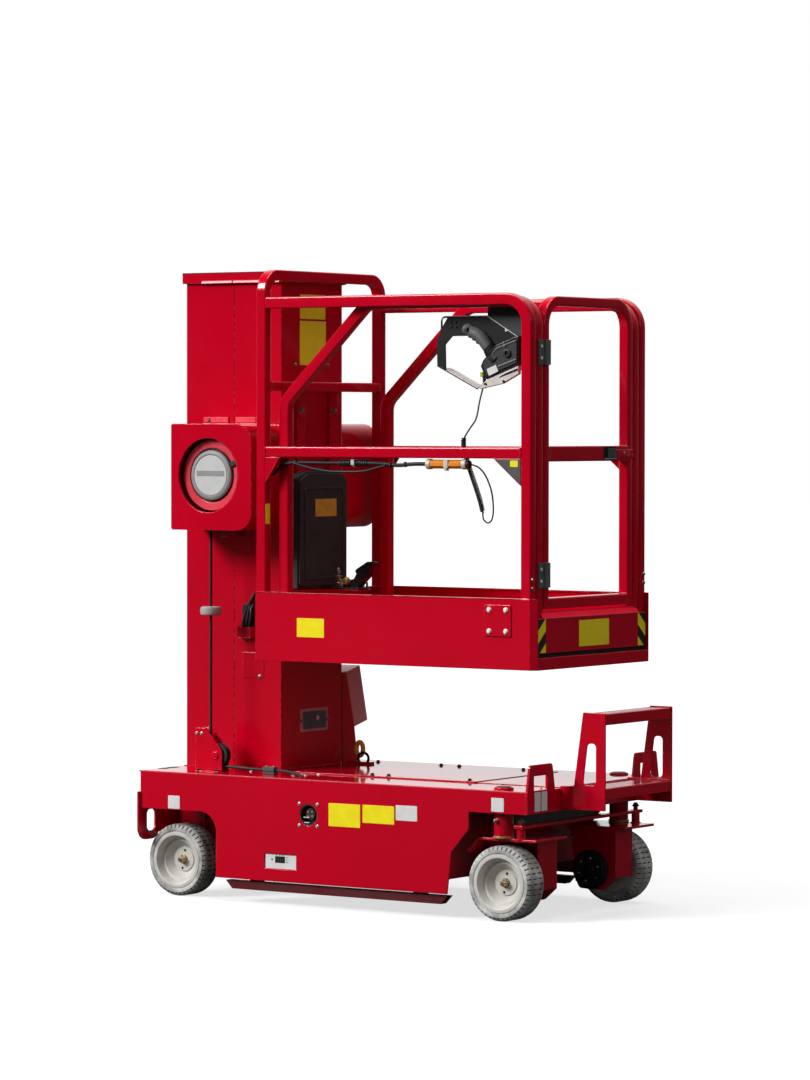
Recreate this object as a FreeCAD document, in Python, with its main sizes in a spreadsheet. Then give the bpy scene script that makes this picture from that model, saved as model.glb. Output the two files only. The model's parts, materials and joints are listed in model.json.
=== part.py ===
# Vertical mast lift: self-propelled electric work platform on a telescoping box mast.
# Millimetres. +X is forward, towards the gate and the steered wheels; +Y is left; +Z is up.
# The origin is on the floor, below the middle of the machine's overall box.
import FreeCAD, Part
import math
import os
import re

import Sketcher

Vector = FreeCAD.Vector
Rotation = FreeCAD.Rotation

doc = FreeCAD.newDocument("mast_lift")

# Driving dimensions: name, value in mm (or degrees), what it measures.
# Places along X are measured from the middle between the axles.
SIZES = (
    ("half_base", 619, "half of the wheelbase"),
    ("front_reach", 117, "front axle to the chassis body's front end"),
    ("rear_reach", 111, "rear axle to the chassis body's rear end"),
    ("chassis_half", 385, "half width of the chassis over its side panels"),
    ("deck_top", 400, "height of the chassis deck above the floor"),
    ("panel_plate", 5, "thickness of the chassis sheet"),
    ("skirt_bottom", 75, "height of the lower edge of the side panels"),
    ("rear_arch_run", 189, "rear axle to the skirt's rear edge"),
    ("front_arch_run", 174, "front axle to the skirt's front edge"),
    ("rear_sill", 280, "height of the side panel's edge over the rear wheel"),
    ("front_sill", 331, "height of the side panel's edge over the front wheel"),
    ("arch_round", 62, "corner radius of the rear wheel arch"),
    ("arch_run", 96, "front axle to the upright edge in the front wheel arch"),
    ("arch_step", 278, "height where the front arch begins to slope"),
    ("arch_low", 205, "height where the front arch's slope ends"),
    ("arch_lean", 15, "how far the skirt's front edge leans forward below the slope"),
    ("lug_rise", 80, "height of the tie-down lugs above the deck"),
    ("lug_span", 155, "width of a lug at its foot"),
    ("lug_lean", 15, "how far each side of a lug leans in by its top"),
    ("lug_round", 12, "corner radius of a lug"),
    ("lug_plate", 8, "thickness of the front plate and its lugs"),
    ("lug_side", 36, "outer edge of a lug to its window"),
    ("lug_head", 34, "bar above a lug's window"),
    ("lug_window", 76, "width of a lug's window"),
    ("lug_sill", 2, "height of a lug's window above the deck"),
    ("socket_x", -72, "x of the charging socket's middle"),
    ("socket_z", 290, "height of the charging socket's middle"),
    ("socket_radius", 34, "radius of the charging socket's opening"),
    ("socket_pitch", 68, "distance between the socket's four screw holes"),
    ("socket_screw", 3.3, "radius of the socket's screw holes"),
    ("well_margin", 14, "screw holes to the wall of the well behind the socket"),
    ("well_depth", 80, "depth of the well behind the socket"),
    ("display_x", -241, "x of the display window's rear edge"),
    ("display_z", 115, "height of the display window's lower edge"),
    ("display_length", 122, "length of the display window"),
    ("display_height", 47, "height of the display window"),
    ("box_bottom", 118, "height of the power pack's underside"),
    ("box_front_gap", 8, "skirt's front edge to the power pack's front"),
    ("loop_low", 176, "height of the lower end of the rear loops"),
    ("loop_top", 332, "height of the top of the rear plate"),
    ("loop_stand", 10, "how far the rear loops stand out past the side panels"),
    ("loop_width", 110, "width of a rear loop"),
    ("loop_round", 40, "corner radius of a rear loop"),
    ("loop_plate", 6, "thickness of the rear plate"),
    ("loop_edge", 44, "outer edge of a rear loop to its slot"),
    ("slot_width", 45, "width of a rear loop's slot"),
    ("slot_rise", 27, "lower end of a rear loop to its slot"),
    ("slot_height", 69, "height of a rear loop's slot"),
    ("slot_round", 16, "corner radius of a rear loop's slot"),
    ("wheel_radius", 115, "radius of all four tyres"),
    ("tyre_width", 85, "width of a tyre"),
    ("tyre_round", 8, "chamfer at a tyre's outer shoulder"),
    ("rim_radius", 84, "outer radius of a rim"),
    ("rim_lip", 10, "width of a rim's outer lip"),
    ("rim_inset", 2, "tyre face to rim face"),
    ("dish_depth", 42, "depth of a rim's dish"),
    ("hub_radius", 36, "radius of the raised hub in a rim"),
    ("hub_rise", 14, "height of the hub above the dish's floor"),
    ("rear_inset", 42, "side panel's face to the rear wheel's outer face"),
    ("front_inset", 21, "side panel's face to the front wheel's outer face"),
    ("axle_radius", 12, "radius of an axle stub"),
    ("run_gap", 0.3, "running clearance at pins, stubs, shoes and stops"),
    ("arm_half", 45, "half width of a rear axle bracket"),
    ("arm_plate", 12, "thickness of a rear axle bracket"),
    ("arm_gap", 8, "rear wheel's inner face to its bracket"),
    ("arm_drop", 30, "axle to the lower end of a rear bracket"),
    ("kingpin_inset", 50, "side panel's face to the steering kingpins"),
    ("kingpin_radius", 16, "radius of a kingpin"),
    ("housing_radius", 30, "outer radius of a kingpin housing"),
    ("housing_low", 262, "height of a kingpin housing's lower end"),
    ("housing_cap", 6, "thickness of a kingpin housing's top"),
    ("rib_plate", 8, "thickness of the rib that carries a kingpin housing"),
    ("rib_reach", 60, "kingpin to the rear edge of the housing's rib"),
    ("fork_span", 163, "kingpin to the inner face of a steering fork"),
    ("fork_top", 252, "height of a steering fork's top face"),
    ("fork_plate", 8, "thickness of the steering fork's plates"),
    ("fork_edge", 18, "front wheel's outer face to the fork's outer edge"),
    ("fork_back", 84, "kingpin to the rear edge of the fork's top plate"),
    ("fork_ahead", 123, "kingpin to the front edge of the fork's top plate"),
    ("cheek_back", 64, "kingpin to the rear edge of the fork's inner plate"),
    ("cheek_ahead", 88, "kingpin to the front edge of the fork's inner plate"),
    ("cheek_round", 20, "corner radius of the fork's inner plate"),
    ("flap_run", 46, "length of the fork's rear flap along X"),
    ("flap_drop", 42, "drop of the fork's rear flap"),
    ("flap_width", 96, "width of the fork's rear flap"),
    ("arm_reach", 62, "kingpin forward to the tie rod's pivot"),
    ("pivot_radius", 7, "radius of the tie rod's pivots"),
    ("post_radius", 13, "radius of the post under a tie rod's pivot"),
    ("tie_height", 284, "height of the tie rod's lower face"),
    ("tie_plate", 10, "thickness of the tie rod"),
    ("tie_width", 30, "width of the tie rod"),
    ("tie_end", 18, "tie rod's length past each pivot"),
    ("open_gap", 5, "clearance of the eye where the steering linkage is opened"),
    ("motor_radius", 62, "radius of a wheel motor's disc"),
    ("motor_depth", 24, "thickness of a wheel motor's disc"),
    ("guard_low", 42, "height of a floor guard's lower edge"),
    ("guard_top", 68, "height of a floor guard's upper edge"),
    ("guard_inset", 12, "side panel's face to the floor guard"),
    ("guard_width", 30, "width of a floor guard"),
    ("guard_taper", 25, "length of a floor guard's sloping ends"),
    ("hanger_half", 20, "half length of a floor guard's hanger"),
    ("hanger_run", 110, "end of a floor guard to its hanger"),
    ("mast_inset", 22, "chassis body's rear end to the mast sleeve"),
    ("mast_length", 375, "length of the mast sleeve along X"),
    ("mast_half", 168, "half width of the mast sleeve"),
    ("sleeve_top", 1957, "height of the sleeve's upper edge"),
    ("sleeve_wall", 5, "wall of the mast sleeve"),
    ("seam_run", 189, "sleeve's rear face to the seam in its side walls"),
    ("seam_width", 2, "width of the seam"),
    ("seam_depth", 1.5, "depth of the seam"),
    ("stage_wall", 5, "wall of an inner mast section"),
    ("stage_gap", 8, "side clearance between mast sections"),
    ("stage_low", 122, "height of the inner sections' lower ends at rest"),
    ("stage_top", 1925, "height of the inner sections' upper ends at rest"),
    ("deck_hole_gap", 8, "sleeve's outer face to the edge of the deck's opening"),
    ("cap_height", 34, "height of the mast cap"),
    ("cap_lip", 10, "overhang of the mast cap"),
    ("base_plate", 10, "thickness of the plate under the mast"),
    ("base_side", 30, "how far the mast's base stands out past the sleeve"),
    ("base_wall", 8, "thickness of the mast base's upright walls"),
    ("base_gap", 12, "sleeve's front face to the wall ahead of it"),
    ("channel_depth", 23, "sleeve to the basket's rear end"),
    ("channel_web", 6, "thickness of the carriage's web"),
    ("channel_inner", 70, "y of a carriage channel's inner face"),
    ("channel_outer", 110, "y of a carriage channel's outer face"),
    ("basket_length", 1043, "length of the basket"),
    ("basket_half", 339, "half width of the basket"),
    ("post_inset", 20, "basket's front edge to the front faces of the posts"),
    ("rail_top", 1904, "height of the top rail's upper face"),
    ("rail_tube", 36, "size of the basket's square tube"),
    ("rail_round", 95, "outer radius of the rails' front bends"),
    ("mid_low", 1402, "height of the mid rail's lower face"),
    ("mid_tube", 34, "height of the mid rail"),
    ("gusset_front", 98, "length of the gusset ahead on a mid rail"),
    ("gusset_rear", 58, "length of the gusset behind on a mid rail"),
    ("gusset_drop", 82, "drop of the mid rail's gussets"),
    ("gusset_plate", 4, "thickness of the mid rail's gussets"),
    ("gusset_lip", 12, "width of the lip along a gusset"),
    ("floor_low", 763, "height of the basket's underside"),
    ("floor_top", 800, "height of the basket's fixed floor"),
    ("floor_plate", 4, "thickness of the basket's floor sheets"),
    ("floor_rim", 60, "width of the channel round the underside of the floor"),
    ("toe_top", 979, "height of the basket's side panels"),
    ("toe_plate", 3, "thickness of the basket's sheet"),
    ("corner_turn", 14, "how far the side panels' front edges turn in"),
    ("bar_low", 1610, "height of the rear crossbar's lower face"),
    ("bar_height", 30, "height of the rear crossbar"),
    ("arch_top", 1992, "height of the rear arch"),
    ("rear_round", 75, "outer radius of the rear arch's bends"),
    ("slide_gap", 6, "side clearance between nested basket frames"),
    ("inner_tube", 32, "width of the extension's frame tube"),
    ("inner_inset", 60, "basket's rear end to the extension frame's rear post"),
    ("inner_drop", 6, "top rail's upper face to the extension's top tube"),
    ("bend_height", 1582, "height where the extension's rear post bends forward"),
    ("bend_reach", 320, "forward run of the extension frame's slanted tube"),
    ("bend_ease", 20, "how much further forward the slanted tube's lower face ends"),
    ("shoe_lift", 8, "height of the extension's floor above the fixed floor"),
    ("shoe_half", 30, "half length of a slide shoe"),
    ("shoe_y", 220, "y of the slide shoes"),
    ("board_top", 935, "height of the extension's front toe board"),
    ("board_lip", 19, "depth of the toe board's top flange"),
    ("gate_tube", 30, "width of the gate's frame tube"),
    ("gate_depth", 34, "depth of the gate's frame along X"),
    ("gate_low", 945, "height of the gate's bottom rail"),
    ("gate_top", 1896, "height of the gate's top"),
    ("gate_round", 90, "outer radius of the gate's upper corners"),
    ("gate_foot", 34, "height of the gate's bottom rail"),
    ("gate_mid", 1393, "height of the lower face of the gate's mid rail"),
    ("gate_bar", 47, "height of the gate's mid rail"),
    ("latch_y", 87, "y of the latch slot's inner end"),
    ("latch_length", 71, "length of the latch slot"),
    ("latch_height", 34, "height of the latch slot"),
    ("latch_depth", 14, "depth of the latch slot"),
    ("hinge_low", 1049, "height of the middle of the gate's lower hinge"),
    ("hinge_high", 1724, "height of the middle of the gate's upper hinge"),
    ("hinge_half", 38, "half height of a gate hinge"),
    ("hinge_leaf", 30, "width of a hinge leaf"),
    ("hinge_pin", 6, "radius of a hinge barrel"),
    ("hinge_stand", 7, "thickness of a hinge leaf"),
    ("step_half", 200, "y of the entry step's outer faces"),
    ("step_reach", 159, "chassis front to the entry step's front edge"),
    ("step_top", 634, "height of the entry step"),
    ("step_low", 337, "height of the entry step's lower edge"),
    ("step_foot", 71, "height of the step's fixing end"),
    ("step_knee", 111, "step's front edge to the bend in its sides"),
    ("step_head", 79, "depth of the entry step at its top"),
    ("step_plate", 6, "thickness of the entry step's side plates"),
    ("slot_foot", 80, "step's front edge to the rear of the side slot's lower end"),
    ("slot_head", 64, "step's front edge to the rear of the side slot's upper end"),
    ("slot_front", 33, "step's front edge to the front of the side slot"),
    ("slot_low", 76, "step's lower edge to the side slot"),
    ("slot_high", 203, "step's lower edge to the top of the side slot"),
    ("slot_corner", 12, "corner radius of the side slot"),
    ("tread_face", 34, "height of a step tread's front"),
    ("tread_sheet", 3, "thickness of a step tread"),
    ("tread_upper", 74, "depth of the upper tread"),
    ("tread_lower", 105, "depth of the lower tread"),
    ("reel_inset", 59, "sleeve's rear face to the reel housing"),
    ("reel_face", 330, "y of the reel housing's outer face"),
    ("left_face", 374, "y of the left housing's outer face"),
    ("reel_low", 1169, "height of the housings' underside"),
    ("reel_top", 1507, "height of the housings' top"),
    ("reel_round", 60, "radius of the housings' front corners"),
    ("reel_corner", 8, "radius of the housings' rear corners"),
    ("reel_wall", 4, "wall of the housings"),
    ("reel_window", 118, "radius of the round window in the reel housing"),
    ("window_back", 12, "window's middle behind the housing's middle"),
    ("window_up", 5, "window's middle above the housing's middle"),
    ("flange_wide", 134, "radius of the reel drum's flanges"),
    ("flange_plate", 6, "thickness of the reel drum's flanges"),
    ("drum_radius", 60, "radius of the reel's drum"),
    ("reel_disc", 90, "radius of the cable reel's end disc"),
    ("disc_depth", 12, "depth of the cable reel's end disc"),
    ("tab_rise", 21, "height of the housing's fixing tabs"),
    ("tab_start", 10, "housing's rear side to its first fixing tab"),
    ("tab_length", 100, "length of a fixing tab"),
    ("tab_pitch", 128, "distance between the fixing tabs"),
    ("cable_run", 180, "sleeve's rear face to the taut reel cable"),
    ("cable_y", 280, "y of the taut reel cable, on the right side"),
    ("cable_radius", 4.5, "radius of the reel cable"),
    ("cable_hole", 12, "radius of the cable's hole in the reel housing"),
    ("stopper_z", 911, "height of the cable stopper's middle"),
    ("stopper_half", 16, "half height of the cable stopper"),
    ("stopper_radius", 37, "radius of the cable stopper"),
    ("pulley_z", 452, "height of the deck pulley's axle"),
    ("pulley_radius", 38, "radius of the deck pulley"),
    ("pulley_bend", 33, "radius of the cable's bend on the pulley"),
    ("pulley_half", 11, "half width of the deck pulley"),
    ("groove_half", 8, "half width of the deck pulley's groove"),
    ("pulley_bore", 8, "radius of the pulley's axle"),
    ("cheek_y", 16, "cable to the inner face of the pulley bracket's cheeks"),
    ("cheek_plate", 4, "thickness of the pulley bracket's cheeks"),
    ("bracket_back", 79, "pulley axle to the bracket's rear edge"),
    ("bracket_front", 24, "pulley axle to the bracket's front edge"),
    ("bracket_rise", 86, "pulley axle to the bracket's top"),
    ("clamp_x", -287, "x of the middle of the deck's cable clamp"),
    ("clamp_y", 290, "y of the cable in the deck's clamp"),
    ("clamp_z", 414, "height of the cable in the deck's clamp"),
    ("clamp_half", 22, "half length of the deck's cable clamp"),
    ("clamp_height", 25, "height of the deck's cable clamp"),
    ("clamp_side", 12, "cable to each side of the deck's clamp"),
    ("gland_x", -160, "x of the cable's hole in the deck"),
    ("gland_y", 298, "y of the cable's hole in the deck"),
    ("gland_radius", 9, "radius of the cable's hole in the deck"),
    ("stand_gap", 6, "clearance of the control stand beside the sleeve"),
    ("stand_length", 200, "length of the control stand along X"),
    ("stand_foot", 94, "sleeve's side to the outer edge of the stand's foot"),
    ("stand_plate", 3, "thickness of the control stand's sheet"),
    ("stand_top", 700, "height of the control stand"),
    ("control_y", 242, "y of the ground control box's lower inner edge"),
    ("control_z", 518, "height of the ground control box's lower inner edge"),
    ("control_tilt", 14, "lean of the ground control box, in degrees"),
    ("control_depth", 85, "depth of the ground control box"),
    ("control_height", 188, "height of the ground control box"),
    ("manual_right", 165, "y of the document box's right side"),
    ("manual_left", 105, "y of the document box's left side"),
    ("manual_depth", 48, "depth of the document box"),
    ("manual_low", 981, "height of the document box's underside"),
    ("manual_side", 1342, "height of the document box at its sides"),
    ("manual_top", 1359, "height of the document box in the middle"),
    ("manual_slope", 60, "width of the slopes on the document box's lid"),
    ("shelf_length", 187, "length of the slide lock's shelf, from the rear board"),
    ("shelf_half", 35, "half width of the slide lock's shelf"),
    ("lock_x", -243, "x of the rear edge of the slide lock's base"),
    ("lock_length", 125, "length of the slide lock's base"),
    ("lock_half", 30, "half width of the slide lock's base"),
    ("lock_plate", 6, "thickness of the slide lock's base"),
    ("coupling_radius", 15.5, "radius of the orange cable coupling"),
    ("coupling_x", 324, "x of the orange coupling's rear end"),
    ("coupling_length", 154, "length of the orange coupling"),
    ("coupling_y", 318, "y of the orange coupling"),
    ("coupling_z", 1384, "height of the orange coupling"),
    ("joint_radius", 11, "radius of the small cable joint"),
    ("joint_x", -13, "x of the small joint's rear end"),
    ("joint_length", 128, "length of the small joint"),
    ("joint_y", 312, "y of the small joint"),
    ("joint_z", 1385, "height of the small joint"),
    ("hang_plate", 4, "thickness of the controller's bracket"),
    ("case_depth", 106, "depth of the controller's case"),
    ("cord_gland_x", 503, "x of the gland under the controller"),
    ("cord_gland_y", 250, "y of the gland under the controller"),
    ("cord_gland_z", 1632, "height of the gland's lower end"),
    ("cord_gland_radius", 7, "radius of the gland under the controller"),
    ("cord_radius", 2.5, "radius of the control cord"),
    ("coil_radius", 8.5, "outer radius of the control cord's curly stretch"),
)

# Places that follow from the driving dimensions: name, expression.
PLACES = (
    ("chassis_front", "half_base + front_reach"),
    ("chassis_rear", "-half_base - rear_reach"),
    ("skirt_front", "half_base - front_arch_run"),
    ("skirt_rear", "rear_arch_run - half_base"),
    ("inner_half", "chassis_half - panel_plate"),
    ("deck_low", "deck_top - panel_plate"),
    ("loop_outer", "chassis_half + loop_stand"),
    ("kingpin_y", "chassis_half - kingpin_inset"),
    ("rear_face", "chassis_half - rear_inset"),
    ("front_face", "chassis_half - front_inset"),
    ("fork_inner", "kingpin_y - fork_span"),
    ("mast_rear", "chassis_rear + mast_inset"),
    ("mast_front", "mast_rear + mast_length"),
    ("base_front", "mast_front + base_gap + base_wall"),
    ("basket_rear", "mast_front + channel_depth"),
    ("basket_front", "basket_rear + basket_length"),
    ("post_front", "basket_front - post_inset"),
    ("inner_rear", "basket_rear + inner_inset"),
    ("inner_low", "floor_top + shoe_lift"),
    ("inner_top", "rail_top - inner_drop"),
    ("outer_skin", "basket_half - toe_plate"),
    ("outer_tube", "basket_half - rail_tube"),
    ("inner_skin", "outer_tube - slide_gap"),
    ("inner_face", "inner_skin - inner_tube"),
    ("gate_half", "inner_face - slide_gap"),
    ("step_front", "chassis_front + step_reach"),
    ("reel_rear", "mast_rear + reel_inset"),
    ("cable_x", "mast_rear + cable_run"),
    ("pulley_x", "cable_x + pulley_bend"),
    ("stand_rear", "mast_front - stand_length"),
)

sheet = doc.addObject("Spreadsheet::Sheet", "Sizes")
for row, (alias, value, note) in enumerate(SIZES, start=1):
    sheet.set(f"A{row}", alias)
    sheet.set(f"B{row}", str(value))
    sheet.setAlias(f"B{row}", alias)
    sheet.set(f"C{row}", note)
doc.recompute()

ALIASES = {alias for alias, _, _ in SIZES}
FOLLOWING = dict(PLACES)
NAME = re.compile(r"[a-z][a-z0-9_]*")


def linked(text):
    """Return an expression in which each size's name points at its cell."""
    def cell(found):
        word = found.group(0)
        if word in FOLLOWING:
            return f"({linked(FOLLOWING[word])})"
        return f"Sizes.{word}" if word in ALIASES else word
    return NAME.sub(cell, str(text))


def bind(item, prop, text):
    item.setExpression(prop, linked(text))


def place(item, x="0", y="0", z="0", turn=None):
    """Put an object at a point whose three coordinates are expressions."""
    if turn is not None:
        item.Placement = FreeCAD.Placement(Vector(), turn)
    bind(item, "Placement.Base.x", x)
    bind(item, "Placement.Base.y", y)
    bind(item, "Placement.Base.z", z)
    return item


def box(x, y, z):
    """A block between low and high values along each axis."""
    item = doc.addObject("Part::Box", "Block")
    for prop, (low, high) in (("Length", x), ("Width", y), ("Height", z)):
        bind(item, prop, f"({high}) - ({low})")
    return place(item, x[0], y[0], z[0])


TURNS = {"x": Rotation(Vector(0, 1, 0), 90), "y": Rotation(Vector(1, 0, 0), -90), "z": Rotation()}
OUT_RIGHT = Rotation(Vector(1, 0, 0), 90)
OUT_LEFT = Rotation(Vector(1, 0, 0), -90)


def rod(axis, start, length, radius):
    """A cylinder along an axis, from the middle of its first end."""
    item = doc.addObject("Part::Cylinder", "Rod")
    bind(item, "Radius", radius)
    bind(item, "Height", length)
    return place(item, *start, turn=TURNS[axis])


def cut(base, tool):
    item = doc.addObject("Part::Cut", "Cut")
    item.Base = base
    item.Tool = tool
    return item


def fuse(*pieces):
    item = doc.addObject("Part::MultiFuse", "Joined")
    item.Shapes = list(pieces)
    item.Refine = True
    return item


def group(*pieces):
    """Like pieces that don't touch, kept in one sub-part."""
    item = doc.addObject("Part::Compound", "Group")
    item.Links = list(pieces)
    return item


def mirrored(piece):
    """The same piece on the machine's other side."""
    item = doc.addObject("Part::Mirroring", "Other")
    item.Source = piece
    item.Normal = Vector(0, 1, 0)
    return item


def pair(piece):
    """A piece on the right side with its like on the left."""
    return group(piece, mirrored(piece))


# Each sketch plane: the role of the body's origin plane, and how a point's two numbers lie in it.
PLANES = {
    "xz": ("XZ_Plane", lambda p: Vector(p[0], 0, p[1])),
    "yz": ("YZ_Plane", lambda p: Vector(0, p[0], p[1])),
    "xy": ("XY_Plane", lambda p: Vector(p[0], p[1], 0)),
}
SKETCH_SPREAD = 1000
SAME_POINT = 0.01


def origin_plane(body, role):
    return next(item for item in body.Origin.OriginFeatures if item.Role == role)


def draw(sketch, loops):
    """Draw closed outlines; each corner is (across, up) or (across, up, radius)."""
    corners = []
    for points in loops:
        first = sketch.GeometryCount
        count = len(points)
        angles = [2 * math.pi * i / count for i in range(count)]
        ring = [(SKETCH_SPREAD * math.cos(a), SKETCH_SPREAD * math.sin(a)) for a in angles]
        for i in range(count):
            here = Vector(*ring[i], 0)
            ahead = Vector(*ring[(i + 1) % count], 0)
            sketch.addGeometry(Part.LineSegment(here, ahead), False)
        for i in range(count):
            line = first + i
            after = first + (i + 1) % count
            sketch.addConstraint(Sketcher.Constraint("Coincident", line, 2, after, 1))
        for i, point in enumerate(points):
            for kind, number in (("DistanceX", 0), ("DistanceY", 1)):
                index = sketch.addConstraint(
                    Sketcher.Constraint(kind, -1, 1, first + i, 1, ring[i][number]))
                bind(sketch, f"Constraints[{index}]", point[number])
            if len(point) > 2:
                corners.append((first + i, point[2]))
    return corners


def plate(plane, loops, low, high):
    """A flat piece: an outline with its windows, padded between two values."""
    role, lift = PLANES[plane]
    body = doc.addObject("PartDesign::Body", "Plate")
    sketch = body.newObject("Sketcher::SketchObject", "Outline")
    sketch.AttachmentSupport = [(origin_plane(body, role), "")]
    sketch.MapMode = "FlatFace"
    corners = draw(sketch, loops)
    pad = body.newObject("PartDesign::Pad", "Pad")
    pad.Profile = sketch
    bind(pad, "Length", f"({high}) - ({low})")
    body.Tip = pad
    start = {"xz": ("0", high, "0"), "yz": (low, "0", "0"), "xy": ("0", "0", low)}[plane]
    place(body, *start)
    if corners:
        doc.recompute()
        round_corners(body, pad, sketch, corners, lift)
    return body


def round_corners(body, pad, sketch, corners, lift):
    """Round the padded corners, one fillet for each radius."""
    last = pad
    flat = (lift((1, 0)), lift((0, 1)))
    for radius in sorted({text for _, text in corners}):
        spots = [lift(tuple(sketch.getPoint(line, 1))[:2]) for line, text in corners if text == radius]
        names = []
        for number, edge in enumerate(last.Shape.Edges, start=1):
            ends = [vertex.Point for vertex in edge.Vertexes]
            if len(ends) < 2:
                continue
            along = ends[1] - ends[0]
            upright = all(abs(along.dot(side)) < SAME_POINT for side in flat)
            if upright and any((end - spot).Length < SAME_POINT for end in ends for spot in spots):
                names.append(f"Edge{number}")
        fillet = body.newObject("PartDesign::Fillet", "Round")
        fillet.Base = (last, names)
        bind(fillet, "Radius", radius)
        body.Tip = fillet
        doc.recompute()
        last = fillet


def revolve(points, place_at, turn):
    """A turned piece: a half section of (radius, along) corners about its own Z axis."""
    body = doc.addObject("PartDesign::Body", "Turned")
    sketch = body.newObject("Sketcher::SketchObject", "Section")
    sketch.AttachmentSupport = [(origin_plane(body, "XZ_Plane"), "")]
    sketch.MapMode = "FlatFace"
    draw(sketch, [points])
    spin = body.newObject("PartDesign::Revolution", "Revolution")
    spin.Profile = sketch
    spin.ReferenceAxis = (sketch, ["V_Axis"])
    spin.Angle = 360
    body.Tip = spin
    place(body, *place_at, turn=turn)
    return body


def rect(x, y):
    """A rectangle's four corners from two low and high pairs."""
    return [(x[0], y[0]), (x[1], y[0]), (x[1], y[1]), (x[0], y[1])]


def moved_mirror(points):
    """The same corners on the other side of the middle plane, in the opposite order."""
    return [(f"-({point[0]})",) + tuple(point[1:]) for point in reversed(points)]


ARC_SHARE = 0.45
SHORTEST_RUN = 0.001


def route(stops, radius, bends=None):
    """A cable's tube: straight runs joined by tangent arcs, each as large as its runs allow."""
    points = [Vector(*stop) for stop in stops]
    edges = []
    radii = []
    here = points[0]
    for number, (before, corner, after) in enumerate(zip(points, points[1:], points[2:])):
        back = (before - corner).normalize()
        ahead = (after - corner).normalize()
        half_turn = (math.pi - back.getAngle(ahead)) / 2
        bend = ARC_SHARE * min((before - corner).Length, (after - corner).Length) / math.tan(half_turn)
        if bends and bends.get(number):
            bend = bends[number]
        reach = bend * math.tan(half_turn)
        crown = bend / math.cos(half_turn) - bend
        start = corner + back * reach
        end = corner + ahead * reach
        if (start - here).Length > SHORTEST_RUN:
            edges.append(Part.LineSegment(here, start).toShape())
        edges.append(Part.Arc(start, corner + (back + ahead).normalize() * crown, end).toShape())
        radii.append(round(bend, 1))
        here = end
    edges.append(Part.LineSegment(here, points[-1]).toShape())
    path = Part.Wire(edges)
    ring = Part.Wire([Part.Circle(points[0], points[1] - points[0], radius).toShape()])
    solid = path.makePipeShell([ring], True, False)
    share = solid.Volume / (math.pi * radius ** 2 * path.Length)
    print(f"cable of radius {radius}: length {path.Length:.1f}, volume share {share:.4f}, bends {radii}")
    item = doc.addObject("Part::Feature", "Cable")
    item.Shape = solid
    return item


PARTS = {}


def name(label, item):
    item.Label = label
    PARTS[label] = item
    return item


# Chassis

def side_outline():
    return [
        ("chassis_rear", "deck_top"),
        ("chassis_rear", "rear_sill"),
        ("skirt_rear", "rear_sill", "arch_round"),
        ("skirt_rear", "skirt_bottom"),
        ("skirt_front", "skirt_bottom"),
        ("skirt_front + arch_lean", "arch_low"),
        ("half_base - arch_run", "arch_step"),
        ("half_base - arch_run", "front_sill"),
        ("chassis_front - lug_plate", "front_sill"),
        ("chassis_front - lug_plate", "deck_top"),
    ]


def chassis_panels():
    """Side panels; the right one has the display window and the socket with its screw holes."""
    display = rect(("display_x", "display_x + display_length"), ("display_z", "display_z + display_height"))
    near = plate("xz", [side_outline(), display], "-chassis_half", "-inner_half")
    through = ("-chassis_half - 1", "panel_plate + 2")
    holes = [rod("y", ("socket_x", through[0], "socket_z"), through[1], "socket_radius")]
    for along in "-+":
        for up in "-+":
            start = (f"socket_x {along} socket_pitch / 2", through[0], f"socket_z {up} socket_pitch / 2")
            holes.append(rod("y", start, through[1], "socket_screw"))
    far = plate("xz", [side_outline()], "inner_half", "chassis_half")
    return name("side_panels", group(cut(near, fuse(*holes)), far))


def deck():
    """Deck sheet with the mast's opening, the kingpin holes and the cable's hole."""
    skin = box(("chassis_rear", "chassis_front - lug_plate"), ("-inner_half", "inner_half"), ("deck_low", "deck_top"))
    through = ("deck_low - 1", "deck_top + 1")
    opening = box(("mast_rear + deck_hole_gap", "mast_front - deck_hole_gap"),
                  ("deck_hole_gap - mast_half", "mast_half - deck_hole_gap"), through)
    holes = [rod("z", ("half_base", f"{side}kingpin_y", through[0]), "panel_plate + 2", "housing_radius + run_gap")
             for side in ("-", "")]
    holes.append(rod("z", ("gland_x", "-gland_y", through[0]), "panel_plate + 2", "gland_radius"))
    return name("deck_plate", cut(skin, fuse(opening, *holes)))


def front_plate():
    """Front plate that rises into the two tie-down lugs."""
    lug_top = "deck_top + lug_rise"
    foot = "chassis_half - lug_span"
    lug = [("chassis_half", "deck_top"), ("chassis_half - lug_lean", lug_top, "lug_round"),
           (f"{foot} + lug_lean", lug_top, "lug_round"), (foot, "deck_top")]
    outline = [("-chassis_half", "front_sill"), ("chassis_half", "front_sill")]
    outline += lug + moved_mirror(lug)
    window = rect(("chassis_half - lug_side - lug_window", "chassis_half - lug_side"),
                  ("deck_top + lug_sill", f"{lug_top} - lug_head"))
    loops = [outline, window, moved_mirror(window)]
    return name("front_plate", plate("yz", loops, "chassis_front - lug_plate", "chassis_front"))


def rear_plate():
    """Rear plate that hangs down into the two slotted tie-down loops."""
    inner = "loop_outer - loop_width"
    outline = [("-loop_outer", "loop_low", "loop_round"), (f"-({inner})", "loop_low", "loop_round"),
               (f"-({inner})", "rear_sill"), (inner, "rear_sill"), (inner, "loop_low", "loop_round"),
               ("loop_outer", "loop_low", "loop_round"), ("loop_outer", "loop_top"), ("-loop_outer", "loop_top")]
    slot = rect(("loop_outer - loop_edge - slot_width", "loop_outer - loop_edge"),
                ("loop_low + slot_rise", "loop_low + slot_rise + slot_height"))
    slot = [corner + ("slot_round",) for corner in slot]
    loops = [outline, slot, moved_mirror(slot)]
    return name("rear_plate", plate("yz", loops, "chassis_rear - loop_plate", "chassis_rear"))


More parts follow.
